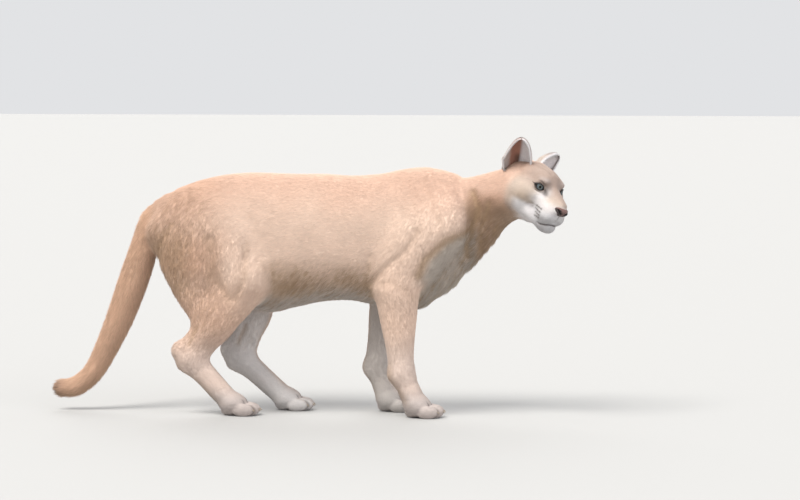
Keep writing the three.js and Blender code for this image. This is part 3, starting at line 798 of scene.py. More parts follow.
def soft_noise(points, size):
    """A smooth random-looking value from -1 to 1: the mean of four waves of turned directions."""
    value = np.zeros(len(points))
    ways = np.array([[1.0, 0.3, 0.5], [-0.4, 1.0, 0.7], [0.6, -0.8, 1.0], [0.9, 0.7, -0.6]])
    for number, way in enumerate(ways):
        phase = points @ way / size * (1 + 0.37 * number)
        value += np.sin(phase + 2.1 * np.sin(points @ ways[(number + 1) % 4] / size * 0.61 + number))
    return value / 4


def roughness_of(points, share):
    """How loose the coat is, 0 to 1: on the lower flank, the thigh's rear, the lower neck, chest and tail."""
    x, _, z = points.T
    low = smooth_step(455, 385, z) * share[:, 0] * smooth_step(-330, -230, x)
    leg = share[:, 5] + share[:, 7]
    hind = leg * smooth_step(-190, -260, x) * smooth_step(190, 240, z)
    hind = np.maximum(hind, 0.7 * leg * smooth_step(330, 280, z) * smooth_step(160, 200, z))
    neck = share[:, 1] * smooth_step(590, 530, z)
    chest = spot(points * [1, 0, 1], [415, 0, 440], [105, 1, 95]) * (share[:, 0] + share[:, 1])
    rough = np.maximum.reduce([low, 0.8 * hind, neck, chest, 0.45 * share[:, 2]])
    return np.clip(rough, 0, 1) * (1 - share[:, 3])


def toe_grooves(points):
    """1 in the grooves between the toes, by e^(-(distance / half width) squared) of the lines between them."""
    mark = np.zeros(len(points))
    low = smooth_step(52, 42, points[:, 2]) * (points[:, 0] > -330)
    for leg in LEGS.values():
        for x, y, half in paws_of(leg):
            ahead = points[:, 0] - x
            aside = points[:, 1] - y
            across = np.sort([toe[1] for toe in TOES]) * half
            gap = np.abs(aside[:, None] - (across[1:] + across[:-1]) / 2).min(1)
            here = smooth_step(14, 26, ahead) * (ahead < 80) * (np.abs(aside) < 50)
            mark = np.maximum(mark, bell(gap, 1.7) * here * low)
    return mark


# Dark streak rows of the whisker pad, as forward and up of each end
STREAKS = [[[26, -47], [44, -50]], [[22, -56], [43, -59]], [[22, -65], [42, -68]], [[24, -74], [40, -76]]]
FOREHEAD_LINES = [[[-6, 6], [-28, 9], [-52, 12]], [[-2, 15], [-22, 20], [-46, 26]]]  # forward, sideways
CHEST_EDGE = np.array([[322, 300], [330, 378], [352, 445], [408, 496], [481, 529]])  # forward, up
CHEST_SHADE = [0.84, 0.80, 0.74]  # what is left of the pale colour on the chest: its own greyer tone and painted shade
MUZZLE_SHADE = 0.62  # what is left of the white under painted shade at the front of the muzzle and under the chin
TEAR_LINE = [[12, 30, -7], [17, 27, -11], [20, 25.5, -15]]
OUTER_LINE = [[-14, 52, 3], [-30, 58, 4]]  # the dark line behind the eye


def coat_colours(points, share, normals):
    """The coat's colour at each point: named colours laid one over the other by soft masks of place.

    Flecks follow noise that is stretched along the hair, and grow with the coat's roughness."""
    c = colours()
    x, _, z = points.T
    sideways, up = normals[:, 1], normals[:, 2]
    flat = points * [1, 0, 1]
    drift = 22 * soft_noise(points, 60)
    trunk, neck, tail = share[:, 0], share[:, 1], share[:, 2]
    front, hind = share[:, 4] + share[:, 6], share[:, 5] + share[:, 7]
    rear = hind * smooth_step(-280, -350, x)
    low = smooth_step(450, 345, z + 0.8 * drift) * trunk
    groin = spot(flat, [-176, 0, 330], [62, 1, 50])
    edge = np.interp(z, CHEST_EDGE[:, 1], CHEST_EDGE[:, 0])
    chest = smooth_step(-14, 30, x - edge + 0.5 * drift) * smooth_step(548, 510, z) * smooth_step(510, 478, x)
    layers = [
        (c.back, smooth_step(530, 660, z + drift)),
        (c.thigh, 0.55 * smooth_step(-150, -330, x + drift) * smooth_step(350, 420, z)),
        (c.thigh, 0.42 * hind * smooth_step(-120, -250, x + drift) * smooth_step(560, 450, z)),
        (c.thigh, 0.28 * hind * smooth_step(400, 340, z)),
        (c.edge, 0.5 * rear * smooth_step(300, 360, z) * smooth_step(560, 470, z)),
        # painted highlight: the lighter flank colour on the bulge of the thigh's muscle
        (c.flank, 0.85 * spot(flat, [-192, 0, 418], [24, 1, 58])),
        (c.thigh, 0.12 * front * smooth_step(500, 330, z)),
        (c.edge, 0.86 * low * smooth_step(-330, -240, x)),
        (c.pale, 0.8 * (smooth_step(-0.35, -0.85, up) * (trunk + neck))),
        (c.white, 0.85 * groin * trunk),
        (c.thigh, 0.6 * neck * smooth_step(646, 606, z) * smooth_step(450, 480, x)),
        # painted shade of the neck's folds on the lower neck, in the throat colour
        (c.throat, 0.66 * neck * smooth_step(628, 580, z + 0.5 * drift) * smooth_step(440, 474, x)),
        # the chest: pale grey, darkened by painted shade
        (np.asarray(c.pale) * CHEST_SHADE, 0.88 * (chest * (1 - front * smooth_step(400, 360, z)))),
        # painted shade where the neck faces down
        (c.throat, 0.2 * neck * smooth_step(-0.2, -0.7, up)),
    ]
    inner = np.zeros(len(points))
    for column, leg in zip(FRONT_COLUMNS, LEGS.values()):
        legs = share[:, column] + share[:, column + 1]
        layers += [(c.cream, 0.85 * smooth_step(270, 130, z) * legs),
                   (c.paw, 0.9 * smooth_step(95, 40, z) * legs)]
        inner = np.maximum(inner, legs * smooth_step(0.1, -0.8, sideways * leg["side"]))
        for at in (column, column + 1):
            behind = smooth_step(-0.2, -0.9, normals[:, 0]) * share[:, at]
            layers.append((c.edge, 0.5 * behind * smooth_step(190, 110, z) * smooth_step(20, 60, z)))
    along_tail = smooth_step(-380, -700, x)
    strand = soft_noise(points * [1, 1, 0.22], 3.6) * (trunk + neck)
    strand += soft_noise(points * [0.4, 1, 1], 3.0) * (hind + 0.7 * tail)
    rough = roughness_of(points, share)
    layers += [
        (c.pale, 0.8 * inner),
        (c.white, 0.35 * inner * hind),
        (c.tail, tail * smooth_step(-400, -440, x)),
        (c.tail_tip, tail * smooth_step(-650, -715, x) * 0.8),
        (c.edge, tail * 0.3 * smooth_step(0.1, -0.8, up) * along_tail),
        # painted shade in the skin's folds, in the belly edge's brown
        (c.edge, 0.9 * folds_at(points)[1]),
        # painted shade in the grooves between the toes
        (c.dark, 0.6 * toe_grooves(points)),
        (c.edge, (0.28 + 0.44 * (trunk + neck)) * (smooth_step(-0.05, 0.55, strand) * rough)),
        (c.flank, 0.25 * smooth_step(-0.2, -0.6, strand) * rough),
    ]
    tint = layered(np.tile(c.flank, (len(points), 1)), layers)
    return head_colours(tint, points, share[:, 3])


def head_colours(tint, points, share):
    """The head's colours laid over the body's, by forward, sideways and up in the head's frame."""
    c = colours()
    p = folded(to_head(points))
    f, side, u = p.T
    crown = smooth_step(-24, 8, u - 0.1 * side + 0.12 * f)
    shaded = MUZZLE_SHADE * np.asarray(c.white)
    parting = bell(side, 1.4) * smooth_step(64, 72, f) * smooth_step(-46, -50, u) * smooth_step(-84, -74, u)
    layers = [
        (c.forehead, 0.9 * crown),
        (c.back, 0.5 * crown * smooth_step(-30, -80, f)),
        (c.flank, 0.4 * spot(p, [-34, 46, -12], [20, 30, 13])),  # temple
        (c.throat, 0.5 * spot(p, [-40, 52, -48], [26, 30, 14])),  # painted shade behind the jaw
        # painted shade under the head
        (c.throat, 0.5 * smooth_step(-66, -94, u) * smooth_step(-20, -60, f)),
        (c.white, 0.75 * smooth_step(-6, 22, f) * smooth_step(-18, -40, u)),
        (c.white, 0.9 * smooth_step(-56, -20, f) * smooth_step(-44, -60, u)),
        (c.white, 1.2 * spot(p, [14, 36, -25], [18, 20, 12])),  # under the eye
        (c.white, 0.6 * spot(p, [20, 19, -8], [15, 8, 13])),  # beside the bridge
        (c.white, 0.65 * spot(p, [3, 31, 21], [11, 11, 5])),  # over the eye
        (c.forehead, 0.75 * spot(p, [44, 0, -10], [44, 8, 22])),  # bridge
        (c.white, smooth_step(28, 44, f) * smooth_step(-52, -60, u)),
        (np.asarray(c.cheek) * [1, 0.88, 0.7], 0.5 * spot(p, [-20, 46, -36], [20, 30, 13])),
        # painted shade on the front of the muzzle and under the chin
        (shaded, 0.45 * smooth_step(58, 74, f) * smooth_step(-34, -48, u)),
        (shaded, 0.7 * (smooth_step(-58, -74, u) * smooth_step(14, 40, f))),
        (c.dark, 0.85 * parting),
    ]
    for line in FOREHEAD_LINES:
        gap, _ = line_gap(p[:, :2], line)
        layers.append((c.dark, 0.15 * bell(gap, 3.4) * smooth_step(10, 22, u)))
    for streak in STREAKS:
        gap, place = line_gap(p[:, [0, 2]], streak)
        mark = bell(gap, 2.3) * smooth_step(20, 30, side)
        layers.append((c.dark, 0.95 * mark * (0.75 + 0.25 * np.cos(place * 14))))
    run, rise, upper, lower, near = by_lids(p)
    outside = np.maximum(rise - upper, lower - rise) + 6 * np.maximum(np.abs(run) - 1.0, 0)
    layers.append((c.dark, 0.9 * smooth_step(3.0, 1.4, outside) * near))
    for line, half, strength in ((TEAR_LINE, 2.0, 0.4), (OUTER_LINE, 2.4, 0.5)):
        gap, _ = line_gap(p, line)
        layers.append((c.dark, strength * bell(gap, half)))
    gap, _ = line_gap(p[:, [0, 2]], MOUTH)
    layers.append((c.dark, 0.98 * bell(gap, 2.4) * smooth_step(32, 40, f)))
    face = layered(np.tile(c.cheek, (len(points), 1)), layers)
    return lay(tint, face, share * smooth_step(-112, -58, f))


def hair_lengths(points, share, normals):
    """The length of the tufts at each point, in millimetres."""
    s = sizes()
    body, belly, tail, leg, face = (
        millimetres(value) for value in (s.body_hair, s.belly_hair, s.tail_hair, s.leg_hair, s.face_hair))
    z = points[:, 2]
    local = to_head(points)
    under = smooth_step(-0.1, -0.8, normals[:, 2])
    legs = share[:, 4:].sum(1)
    length = body + (belly - body) * under * smooth_step(260, 330, z)
    length += (leg - length) * legs * smooth_step(420, 240, z)
    length += (0.55 * leg - length) * legs * smooth_step(90, 50, z)
    length += (tail - length) * share[:, 2]
    back = smooth_step(30, -110, local[:, 0])
    head = face + (0.85 * body - face) * back * back + 3 * smooth_step(-60, -95, local[:, 2]) * back
    length *= 1 + 0.35 * roughness_of(points, share)
    return length + (head - length) * share[:, 3]


def lid_frame():
    """The eye's axes in the head's frame: out along its aim, back along the opening, up across it."""
    aim = unit(EYE_AIM)
    back = unit(np.cross(aim, [0.0, 0.0, 1.0])) * -1
    back = unit(back - aim * (back @ aim))
    up = np.cross(back, aim)
    if up[2] < 0:
        up = -up
    if back[1] < 0:
        back = -back
    tilt = math.radians(LID["slope"])
    along_way = back * math.cos(tilt) + up * math.sin(tilt)
    across_way = up * math.cos(tilt) - back * math.sin(tilt)
    return np.array([aim, along_way, across_way])


LID_AXES = lid_frame()


LID_REACH = 12


def lid_limits(run):
    """Heights of the upper and lower edge of the opening at places -1 (inner corner) to 1 along it."""
    arch = (1 - np.clip(np.abs(run), 0, 1) ** 2.1) ** 0.85
    return LID["upper"] * arch * (1 - 0.22 * run), -LID["lower"] * arch * (1 - 0.05 * run)


def by_lids(p):
    """For points of the head's folded frame: share of the opening's half width, height across it, heights
    of its upper and lower edge there, and whether the point is on the front of the lids."""
    out, run, rise = ((p - EYE_AT) @ LID_AXES.T).T
    run = run / LID["half_width"]
    near = (out > 0) & (np.linalg.norm(p - EYE_AT, axis=1) < EYE_RADIUS + LID_REACH)
    return run, rise, *lid_limits(run), near


def carve_face(points):
    """Opens the lids over the eyeballs, and presses in the lid folds and the line of the mouth."""
    local = to_head(points)
    p = folded(local)
    run, rise, upper, lower, near = by_lids(p)
    inside = near & (np.abs(run) < 1) & (rise < upper) & (rise > lower)
    fold = bell(rise - upper - LID["fold_above"], 1.6) * (np.abs(run) < 1.25) * near
    p = p - unit(p - EYE_AT) * (LID["fold_depth"] * fold * ~inside)[:, None]
    p[inside] = EYE_AT + unit(p[inside] - EYE_AT) * (EYE_RADIUS - 3)
    gap, _ = line_gap(p[:, [0, 2]], MOUTH)
    press = LIP_DEPTH * bell(gap, 2.0) * smooth_step(33, 40, p[:, 0])
    p = p - unit(p - MOUTH_CENTRE) * press[:, None]
    split = bell(p[:, 1], 1.7) * smooth_step(66, 74, p[:, 0]) * smooth_step(-46, -52, p[:, 2])
    p = p - unit(p - MOUTH_CENTRE) * (LIP_DEPTH * split * smooth_step(-80, -74, p[:, 2]))[:, None]
    p[:, 1] *= np.where(local[:, 1] < 0, -1.0, 1.0)
    changed = np.linalg.norm(local + HEAD_MIDDLE, axis=1) < 150
    points = points.copy()
    points[changed] = from_head(p[changed])
    return points


# Ears

EAR_ROOT = np.array([-92.0, 51.0, 31.0])
EAR_SIZE = {"height": 78.0, "half_width": 33.0, "half_depth": 25.0, "wall": 3.4,
            "outer_flare": 0.4, "inner_flare": 0.1, "cut": 6.0}
# The last value of each ear is how much white is laid in its cup as painted light
EARS = {
    "right": {"lean": [0.11, -0.46, 0.88], "facing": [0.62, -0.76, 0.12], "side": -1, "painted_light": 0.0},
    "left": {"lean": [-0.27, 0.78, 0.48], "facing": [0.93, 0.3, 0.1], "side": 1, "painted_light": 0.8},
}
EAR_FOOT = 0.4  # how far the ear goes on below its root, as a share of its height
EAR_FOOT_ROWS, EAR_ROWS, EAR_COLUMNS = 4, 26, 22
EAR_POINTS = (EAR_FOOT_ROWS + EAR_ROWS) * (2 * EAR_COLUMNS + 2) + 2  # each ear's rings and its two ends


def ear_frame(ear):
    """The ear's root and its axes in the head's frame: the way it faces, across it and up it."""
    up, facing = unit(ear["lean"]), np.array(ear["facing"])
    facing = unit(facing - up * (facing @ up))
    return EAR_ROOT * [1, ear["side"], 1], np.array([facing, np.cross(up, facing), up])


def ear_surface(ear, rise, turn, inset):
    """Points of a bowl: an upright oval round the root at each rise, cut open in front.

    The half width is that of an ellipsoid times 1 + flare (1 - h) squared, with its own flare on the
    outer side; turn runs -1 to 1 from one edge of the opening round the back to the other; inset
    moves the surface inwards."""
    root, axes = ear_frame(ear)
    s = EAR_SIZE
    h = np.clip(rise, -EAR_FOOT, 1)
    ring = np.sqrt(np.maximum(1 - np.maximum(h, 0) ** 2.2, 0)) * (1 - 0.35 * np.maximum(-h, 0))
    reach = s["half_depth"] * ring
    open_angle = np.pi / 2 + np.arcsin(np.clip(s["cut"] / np.maximum(reach, s["cut"] * 1.02), -1, 1))
    angle = turn * open_angle
    deep = np.maximum(reach - inset, 0)
    flare = np.where(turn * ear["side"] > 0, s["outer_flare"], s["inner_flare"])
    flare = 1 + flare * (1 - np.clip(h, 0, 1)) ** 2
    wide = np.maximum(s["half_width"] * flare * ring - inset, 0)
    local = np.stack([-np.cos(angle) * deep, np.sin(angle) * wide,
                      s["height"] * h - inset * np.maximum(h, 0)], -1)
    return from_head(root + local @ axes)


def ear_rings(ear):
    """Rings of an ear's wall: round the back outside, over one edge, back inside and over the other."""
    foot = np.linspace(-EAR_FOOT, 0, EAR_FOOT_ROWS + 1)[:-1]
    rise = np.concatenate([foot, np.sin(np.linspace(0, np.pi / 2, EAR_ROWS))])
    turn = np.linspace(-1, 1, EAR_COLUMNS)
    wall = EAR_SIZE["wall"]
    ring_turn = np.concatenate([turn, [1.05], turn[::-1], [-1.05]])
    inset = np.concatenate([np.zeros(EAR_COLUMNS), [wall / 2], np.full(EAR_COLUMNS, wall), [wall / 2]])
    taper = np.clip((1 - rise) / 0.12, 0.15, 1)
    return ear_surface(ear, rise[:, None], ring_turn[None], inset[None] * taper[:, None])[:, ::-1]


class COUGAR_OT_skin(bpy.types.Operator):
    """Makes the skin: ovals carried along the limbs, fused, set on the blended outline less the coat's depth"""
    bl_idname = "cougar.skin"
    bl_label = "Skin"

    def execute(self, context):
        shells = [trunk_rings()] + [oval_rings(rows) for rows, _ in LINE_FORMS]
        shells += [ball_rings(centre, half) for centre, half, _ in ROUND_MASSES]
        for centre, half in HEAD_MASSES:
            for side in ((1, -1) if centre[1] else (1,)):
                shells.append(from_head(ball_rings(np.array(centre) * [1, side, 1], half)))
        for a, radius_a, b, radius_b in HEAD_BARS:
            for side in ((1, -1) if a[1] or b[1] else (1,)):
                ends = [[x, y * side, z, radius, radius]
                        for (x, y, z), radius in ((a, radius_a), (b, radius_b))]
                shells.append(from_head(oval_rings(smoothed(ends, 3))))
        skin = new_piece("skin", *merged(capped(rings) for rings in shells))
        fuse = skin.modifiers.new("fuse", "REMESH")
        fuse.mode = "VOXEL"
        fuse.voxel_size = sizes().skin_pitch
        applied(skin)
        mesh = skin.data
        points = relaxed(mesh_points(mesh), mesh, 3)
        set_points(mesh, settle(points, flesh_distance, skin_depth(points), 3))
        middles = face_middles(mesh)
        head = np.linalg.norm(to_head(middles) + [8, 0, 34], axis=1) < 112
        low = (middles[:, 2] < 60) & (middles[:, 0] > -330)
        refine(mesh, head | low)
        local = folded(to_head(face_middles(mesh)))
        by_eye = np.linalg.norm(local - EYE_AT, axis=1) < 31
        by_mouth = (local[:, 0] > 26) & (local[:, 2] < -44)
        refine(mesh, by_eye | by_mouth)
        points = relaxed(mesh_points(mesh), mesh, 2)
        set_points(mesh, settle(points, flesh_distance, skin_depth(points), 2))
        local = folded(to_head(face_middles(mesh)))
        refine(mesh, (np.linalg.norm(local - EYE_AT, axis=1) < 24) & (local[:, 0] > -14))
        points = relaxed(mesh_points(mesh), mesh, 1)
        points = settle(points, flesh_distance, skin_depth(points), 2)
        points = carve_face(points)
        points[:, 2] = np.maximum(points[:, 2], 0.6)
        set_points(mesh, points)

        add_mesh(mesh, new_piece("ears", *merged(capped(ear_rings(ear)) for ear in EARS.values())))
        mesh.shade_smooth()
        paint_skin(mesh)
        carries(skin, "coat", *FLESH_NODES)
        mesh.materials.append(skin_material())
        return {"FINISHED"}


def add_mesh(mesh, other):
    """Adds another piece's mesh to a mesh, and removes that piece."""
    shape = bmesh.new()
    shape.from_mesh(mesh)
    shape.from_mesh(other.data)
    old = other.data
    bpy.data.objects.remove(other)
    bpy.data.meshes.remove(old)
    bmesh.ops.triangulate(shape, faces=[face for face in shape.faces if len(face.verts) > 4])
    shape.to_mesh(mesh)
    shape.free()


def mesh_normals(mesh):
    """The outward normals at a mesh's points."""
    flat = np.empty(len(mesh.vertices) * 3)
    mesh.vertices.foreach_get("normal", flat)
    return flat.reshape(-1, 3)


KINDS = {"FLOAT": ("value", 1), "FLOAT_VECTOR": ("vector", 3), "FLOAT_COLOR": ("color", 4)}


def write_attribute(mesh, name, kind, values):
    """One value per point of a mesh, of one of KINDS."""
    layer = mesh.attributes.new(name, kind, "POINT")
    values = np.asarray(values, np.float32)
    if kind == "FLOAT_COLOR":
        values = np.column_stack([values, np.ones(len(values), np.float32)])
    layer.data.foreach_set(KINDS[kind][0], values.ravel())


GAP_SHADE = 0.93  # the skin under the hair is darkened by this share: painted shade in the gaps between the tufts


def paint_skin(mesh):
    """Gives the skin its colours and the coat its lie, length and region, as values on the points.

    The value ear is 0 on the body, 1 on the back of the ears and up to 2 in their cups."""
    points, normals = mesh_points(mesh), mesh_normals(mesh)
    share, lie = regions_of(points)
    tint = coat_colours(points, share, normals)
    length = hair_lengths(points, share, normals)
    ear = np.zeros(len(points))
    ears = np.arange(len(points) - len(EARS) * EAR_POINTS, len(points))
    tint[ears], length[ears], lie[ears], inside = ear_coat(points[ears], normals[ears])
    ear[ears] = 1 + inside
    lie = unit(lie - normals * (lie * normals).sum(1)[:, None])
    # The skin's colour is darkened here by painted shade, for the gaps between the tufts
    write_attribute(mesh, "tint", "FLOAT_COLOR", GAP_SHADE * tint)
    write_attribute(mesh, "lie", "FLOAT_VECTOR", lie)
    write_attribute(mesh, "length", "FLOAT", length)
    write_attribute(mesh, "ear", "FLOAT", ear)
    for number, name in enumerate(REGIONS):
        write_attribute(mesh, "region_" + name, "FLOAT", share[:, number])


def ear_coat(points, normals):
    """Colour, hair length, lie and insideness of an ear's surface."""
    c = colours()
    local = to_head(points)
    tint = np.tile(c.ear_back, (len(points), 1))
    length = np.full(len(points), 5.0)
    lie = np.zeros((len(points), 3))
    inside = np.zeros(len(points))
    for ear in EARS.values():
        root, axes = ear_frame(ear)
        mine = local[:, 1] * ear["side"] > 0
        at = (local[mine] - root) @ axes.T
        facing = (normals[mine] @ HEAD_AXES) @ axes[0]
        rise = at[:, 2] / EAR_SIZE["height"]
        outer = at[:, 1] * ear["side"] / EAR_SIZE["half_width"]
        cup = smooth_step(0.0, 0.3, facing)
        root_dark = smooth_step(0.28, 0.02, rise) * bell(outer - 0.1, 0.4)
        tint[mine] = layered(tint[mine], [
            (c.cheek, 0.75 * smooth_step(0.5, 0.0, rise)),
            (c.ear_inside, cup),
            (c.dark, 0.8 * cup * root_dark),
            (c.white, cup * 0.85 * smooth_step(0.12, -0.18, outer)),
            (c.pale, cup * 0.7 * smooth_step(0.7, 0.95, outer)),
            # painted light: the left ear's cup is laid whiter than the right's
            (c.white, cup * ear["painted_light"]),
            (c.white, 0.75 * smooth_step(1, 5.5, at[:, 0])),
        ])
        fringe = cup * smooth_step(-0.1, -0.5, outer)
        fringe = np.maximum(fringe, cup * smooth_step(0.45, 0.1, rise) * smooth_step(0.35, 0.7, outer))
        length[mine] = 4.4 + 1.8 * smooth_step(0.5, 0, rise) + 5.0 * fringe * smooth_step(0.9, 0.4, rise)
        aside = ear["side"] * (0.15 + 0.45 * fringe * np.where(outer < 0, 1, -0.6))
        spread = axes[2] + axes[1] * aside[:, None]
        lie[mine] = unit(spread) @ HEAD_AXES.T
        inside[mine] = cup
    return tint, length, lie, inside


# Materials

def node_of(tree, kind, feeds, **settings):
    """A new shader node with its settings; feeds gives its inputs a value, or the output that goes in."""
    node = tree.nodes.new("ShaderNode" + kind)
    for name, value in settings.items():
        setattr(node, name, value)
    for name, value in feeds.items():
        if isinstance(value, bpy.types.NodeSocket):
            tree.links.new(value, node.inputs[name])
        else:
            node.inputs[name].default_value = value
    return node


def hair_shade():
    """The node group that varies a colour in fine streaks and soft patches, and gives a height for bump.

    Noise stretched along the body and noise stretched along the legs are mixed by the upright part of
    the lie, squared; the colour is scaled by 1 + contrast (streaks + patches - 1)."""
    known = bpy.data.node_groups.get("hair_shade")
    if known:
        return known
    group = bpy.data.node_groups.new("hair_shade", "ShaderNodeTree")
    for label, kind in (("Colour", "Color"), ("Streak size", "Float"), ("Contrast", "Float")):
        group.interface.new_socket(label, in_out="INPUT", socket_type="NodeSocket" + kind)
    for label, kind in (("Colour", "Color"), ("Height", "Float")):
        group.interface.new_socket(label, in_out="OUTPUT", socket_type="NodeSocket" + kind)
    given = group.nodes.new("NodeGroupInput").outputs
    result = group.nodes.new("NodeGroupOutput")
    place = node_of(group, "TexCoord", {}).outputs["Object"]
    streaks = []
    for scales in STREAK_SCALES:
        stretch = node_of(group, "Mapping", {"Vector": place, "Scale": scales})
        streaks.append(node_of(group, "TexNoise", {
            "Vector": stretch.outputs["Vector"], "Scale": given["Streak size"], "Detail": 3.0}).outputs["Fac"])
    lie = node_of(group, "Attribute", {}, attribute_name="lie")
    rise = node_of(group, "SeparateXYZ", {0: lie.outputs["Vector"]}).outputs["Z"]
    steep = node_of(group, "Math", {0: rise, 1: rise}, operation="MULTIPLY")
    fine = node_of(group, "Mix", {"Factor": steep.outputs[0], "A": streaks[0], "B": streaks[1]})
    patches = node_of(group, "TexNoise", {"Vector": place, "Scale": PATCH_SCALE, "Detail": 2.0})
    both = node_of(group, "Math", {0: fine.outputs["Result"], 1: patches.outputs["Fac"]}, operation="ADD")
    level = node_of(group, "Math", {0: both.outputs[0], 1: 1.0}, operation="SUBTRACT")
    amount = node_of(
        group, "Math", {0: level.outputs[0], 1: given["Contrast"], 2: 1.0}, operation="MULTIPLY_ADD")
    scaled = node_of(
        group, "VectorMath", {0: given["Colour"], "Scale": amount.outputs[0]}, operation="SCALE")
    group.links.new(scaled.outputs["Vector"], result.inputs["Colour"])
    group.links.new(fine.outputs["Result"], result.inputs["Height"])
    return group


STREAK_SCALES = ((0.22, 1.0, 0.9), (1.0, 1.0, 0.22))
PATCH_SCALE = 14.0
BUMP_DEPTH = 0.002


def attribute_material(name, roughness, contrast, streak, bump, sheen=0.0, wet=0.0, specular=0.3):
    """A surface that takes its colour from the points' tint, varied in streaks, with a fine bump."""
    known = bpy.data.materials.get(name)
    if known:
        return known
    paint = bpy.data.materials.new(name)
    paint.use_nodes = True
    tree = paint.node_tree
    shader = tree.nodes["Principled BSDF"]
    tint = node_of(tree, "Attribute", {}, attribute_name="tint")
    shade = node_of(tree, "Group", {}, node_tree=hair_shade())
    shade.inputs["Streak size"].default_value = streak
    shade.inputs["Contrast"].default_value = contrast
    tree.links.new(tint.outputs["Color"], shade.inputs["Colour"])
    tree.links.new(shade.outputs["Colour"], shader.inputs["Base Color"])
    if bump:
        lift = node_of(tree, "Bump", {
            "Strength": bump, "Distance": BUMP_DEPTH, "Height": shade.outputs["Height"]})
        tree.links.new(lift.outputs["Normal"], shader.inputs["Normal"])
    for socket, value in (("Roughness", roughness), ("Specular IOR Level", specular), ("Sheen Weight", sheen),
                          ("Coat Weight", wet), ("Coat Roughness", 0.05)):
        shader.inputs[socket].default_value = value
    return paint


def skin_material():
    """The skin under the coat: matt, streaked and bumped like short fur."""
    return attribute_material("hide", 0.75, 0.30, 420.0, 0.5, sheen=0.10, specular=0.2)


def hair_material():
    """The tufts: matt, with faint streaks."""
    return attribute_material("hair", 0.66, 0.16, 160.0, 0.0, sheen=0.10, specular=0.22)


def bare_material(name, roughness, wet=0.0, bump=0.3):
    """Skin or horn without hair, wet on the nose and the rims of the lids."""
    return attribute_material(name, roughness, 0.25, 700.0, bump, wet=wet, specular=0.4)


# Eyes, lids, nose, whiskers, claws and pads

def tinted_piece(name, points, faces, tint, material):
    """A piece with one colour per point and a material."""
    piece = new_piece(name, points, faces)
    write_attribute(piece.data, "tint", "FLOAT_COLOR", tint)
    piece.data.materials.append(material)
    return piece


def tube(line, radii, sides=8):
    """Points and faces of a closed tube carried along a line of points, with a radius at each."""
    line = np.asarray(line, float)
    forward = unit(np.gradient(line, axis=0))
    guess = np.array([0.0, 0.0, 1.0]) if abs(forward[:, 2]).mean() < 0.9 else np.array([1.0, 0.0, 0.0])
    one = unit(np.cross(forward, guess))
    two = np.cross(forward, one)
    a = np.linspace(0, 2 * np.pi, sides, endpoint=False)[None, :, None]
    radii = np.asarray(radii, float).reshape(-1, 1, 1) * np.ones((len(line), 1, 1))
    return capped(line[:, None] + radii * (np.cos(a) * one[:, None] + np.sin(a) * two[:, None]))


GAZE = np.array([0.86, 0.48, 0.12])
IRIS_HALF_ANGLE = 34.0
PUPIL_HALF_ANGLE = 12.5
EYEBALL_SHARE = 0.985  # of the radius that the lids lie on
CLEAR_SWELL = 0.05
WARM_IRIS = [0.30, 0.26, 0.14]  # by the pupil
PUPIL_TONE = 0.003


class COUGAR_OT_eyes(bpy.types.Operator):
    """Makes the eyeballs: a sphere about the gaze, its clear front swelling softly, iris and pupil in rings"""
    bl_idname = "cougar.eyes"
    bl_label = "Eyes"

    def execute(self, context):
        c = colours()
        turns = np.radians(np.concatenate([np.linspace(0.6, 48, 60), np.linspace(52, 176, 24)]))
        around = np.linspace(0, 2 * np.pi, 64, endpoint=False)
        degrees = np.degrees(turns)
        for name, side in (("right", -1.0), ("left", 1.0)):
            gaze = unit(GAZE) * [1, side, 1]
            across = unit(np.cross([0.0, 0.0, 1.0], gaze))
            up = np.cross(gaze, across)
            radius = EYE_RADIUS * EYEBALL_SHARE * (1 + CLEAR_SWELL * smooth_step(46, 24, degrees))
            ring = np.sin(turns)[:, None, None] * (
                np.cos(around)[None, :, None] * across + np.sin(around)[None, :, None] * up)
            local = EYE_AT * [1, side, 1] + radius[:, None, None] * (np.cos(turns)[:, None, None] * gaze + ring)
            points, faces = capped(from_head(local))
            rays = 0.5 + 0.5 * np.sin(around * 23)[None] * np.sin(around * 37 + 1)[None]
            share = (degrees[:, None] - PUPIL_HALF_ANGLE) / (IRIS_HALF_ANGLE - PUPIL_HALF_ANGLE)
            tint = np.asarray(c.iris) * (0.75 + 0.45 * rays[..., None] * np.clip(share, 0, 1)[..., None])
            tint = layered(tint, [(WARM_IRIS, 0.25 * smooth_step(0.45, 0.05, share)),
                                  (c.lid_rim, smooth_step(0.62, 1.0, share))])
            # painted shadow of the upper lid: the iris darkens towards its top
            tint = tint * (1 - 0.6 * smooth_step(0.1, 0.75, ring[..., 2])[..., None])
            tint = lay(tint, PUPIL_TONE, smooth_step(0.06, -0.04, share))
            tint = np.concatenate([tint.reshape(-1, 3), tint[0, :1], tint[-1, :1]])
            eye = tinted_piece("eyeball_" + name, points, faces, tint,
                               attribute_material("eyeball", 0.2, 0.1, 900.0, 0.0, wet=0.2, specular=0.06))
            carries(eye, "eye", "eye_" + name)
        return {"FINISHED"}


def lid_edge(run, below, out):
    """Points on a sphere round the eye over the edge of the opening; out is the sphere's radius."""
    upper, lower = lid_limits(run)
    rise = np.where(below, lower, upper)
    wide = run * LID["half_width"]
    height = np.sqrt(np.maximum(out ** 2 - wide ** 2 - rise ** 2, 1))
    return EYE_AT + np.stack([height, wide, rise], -1) @ LID_AXES


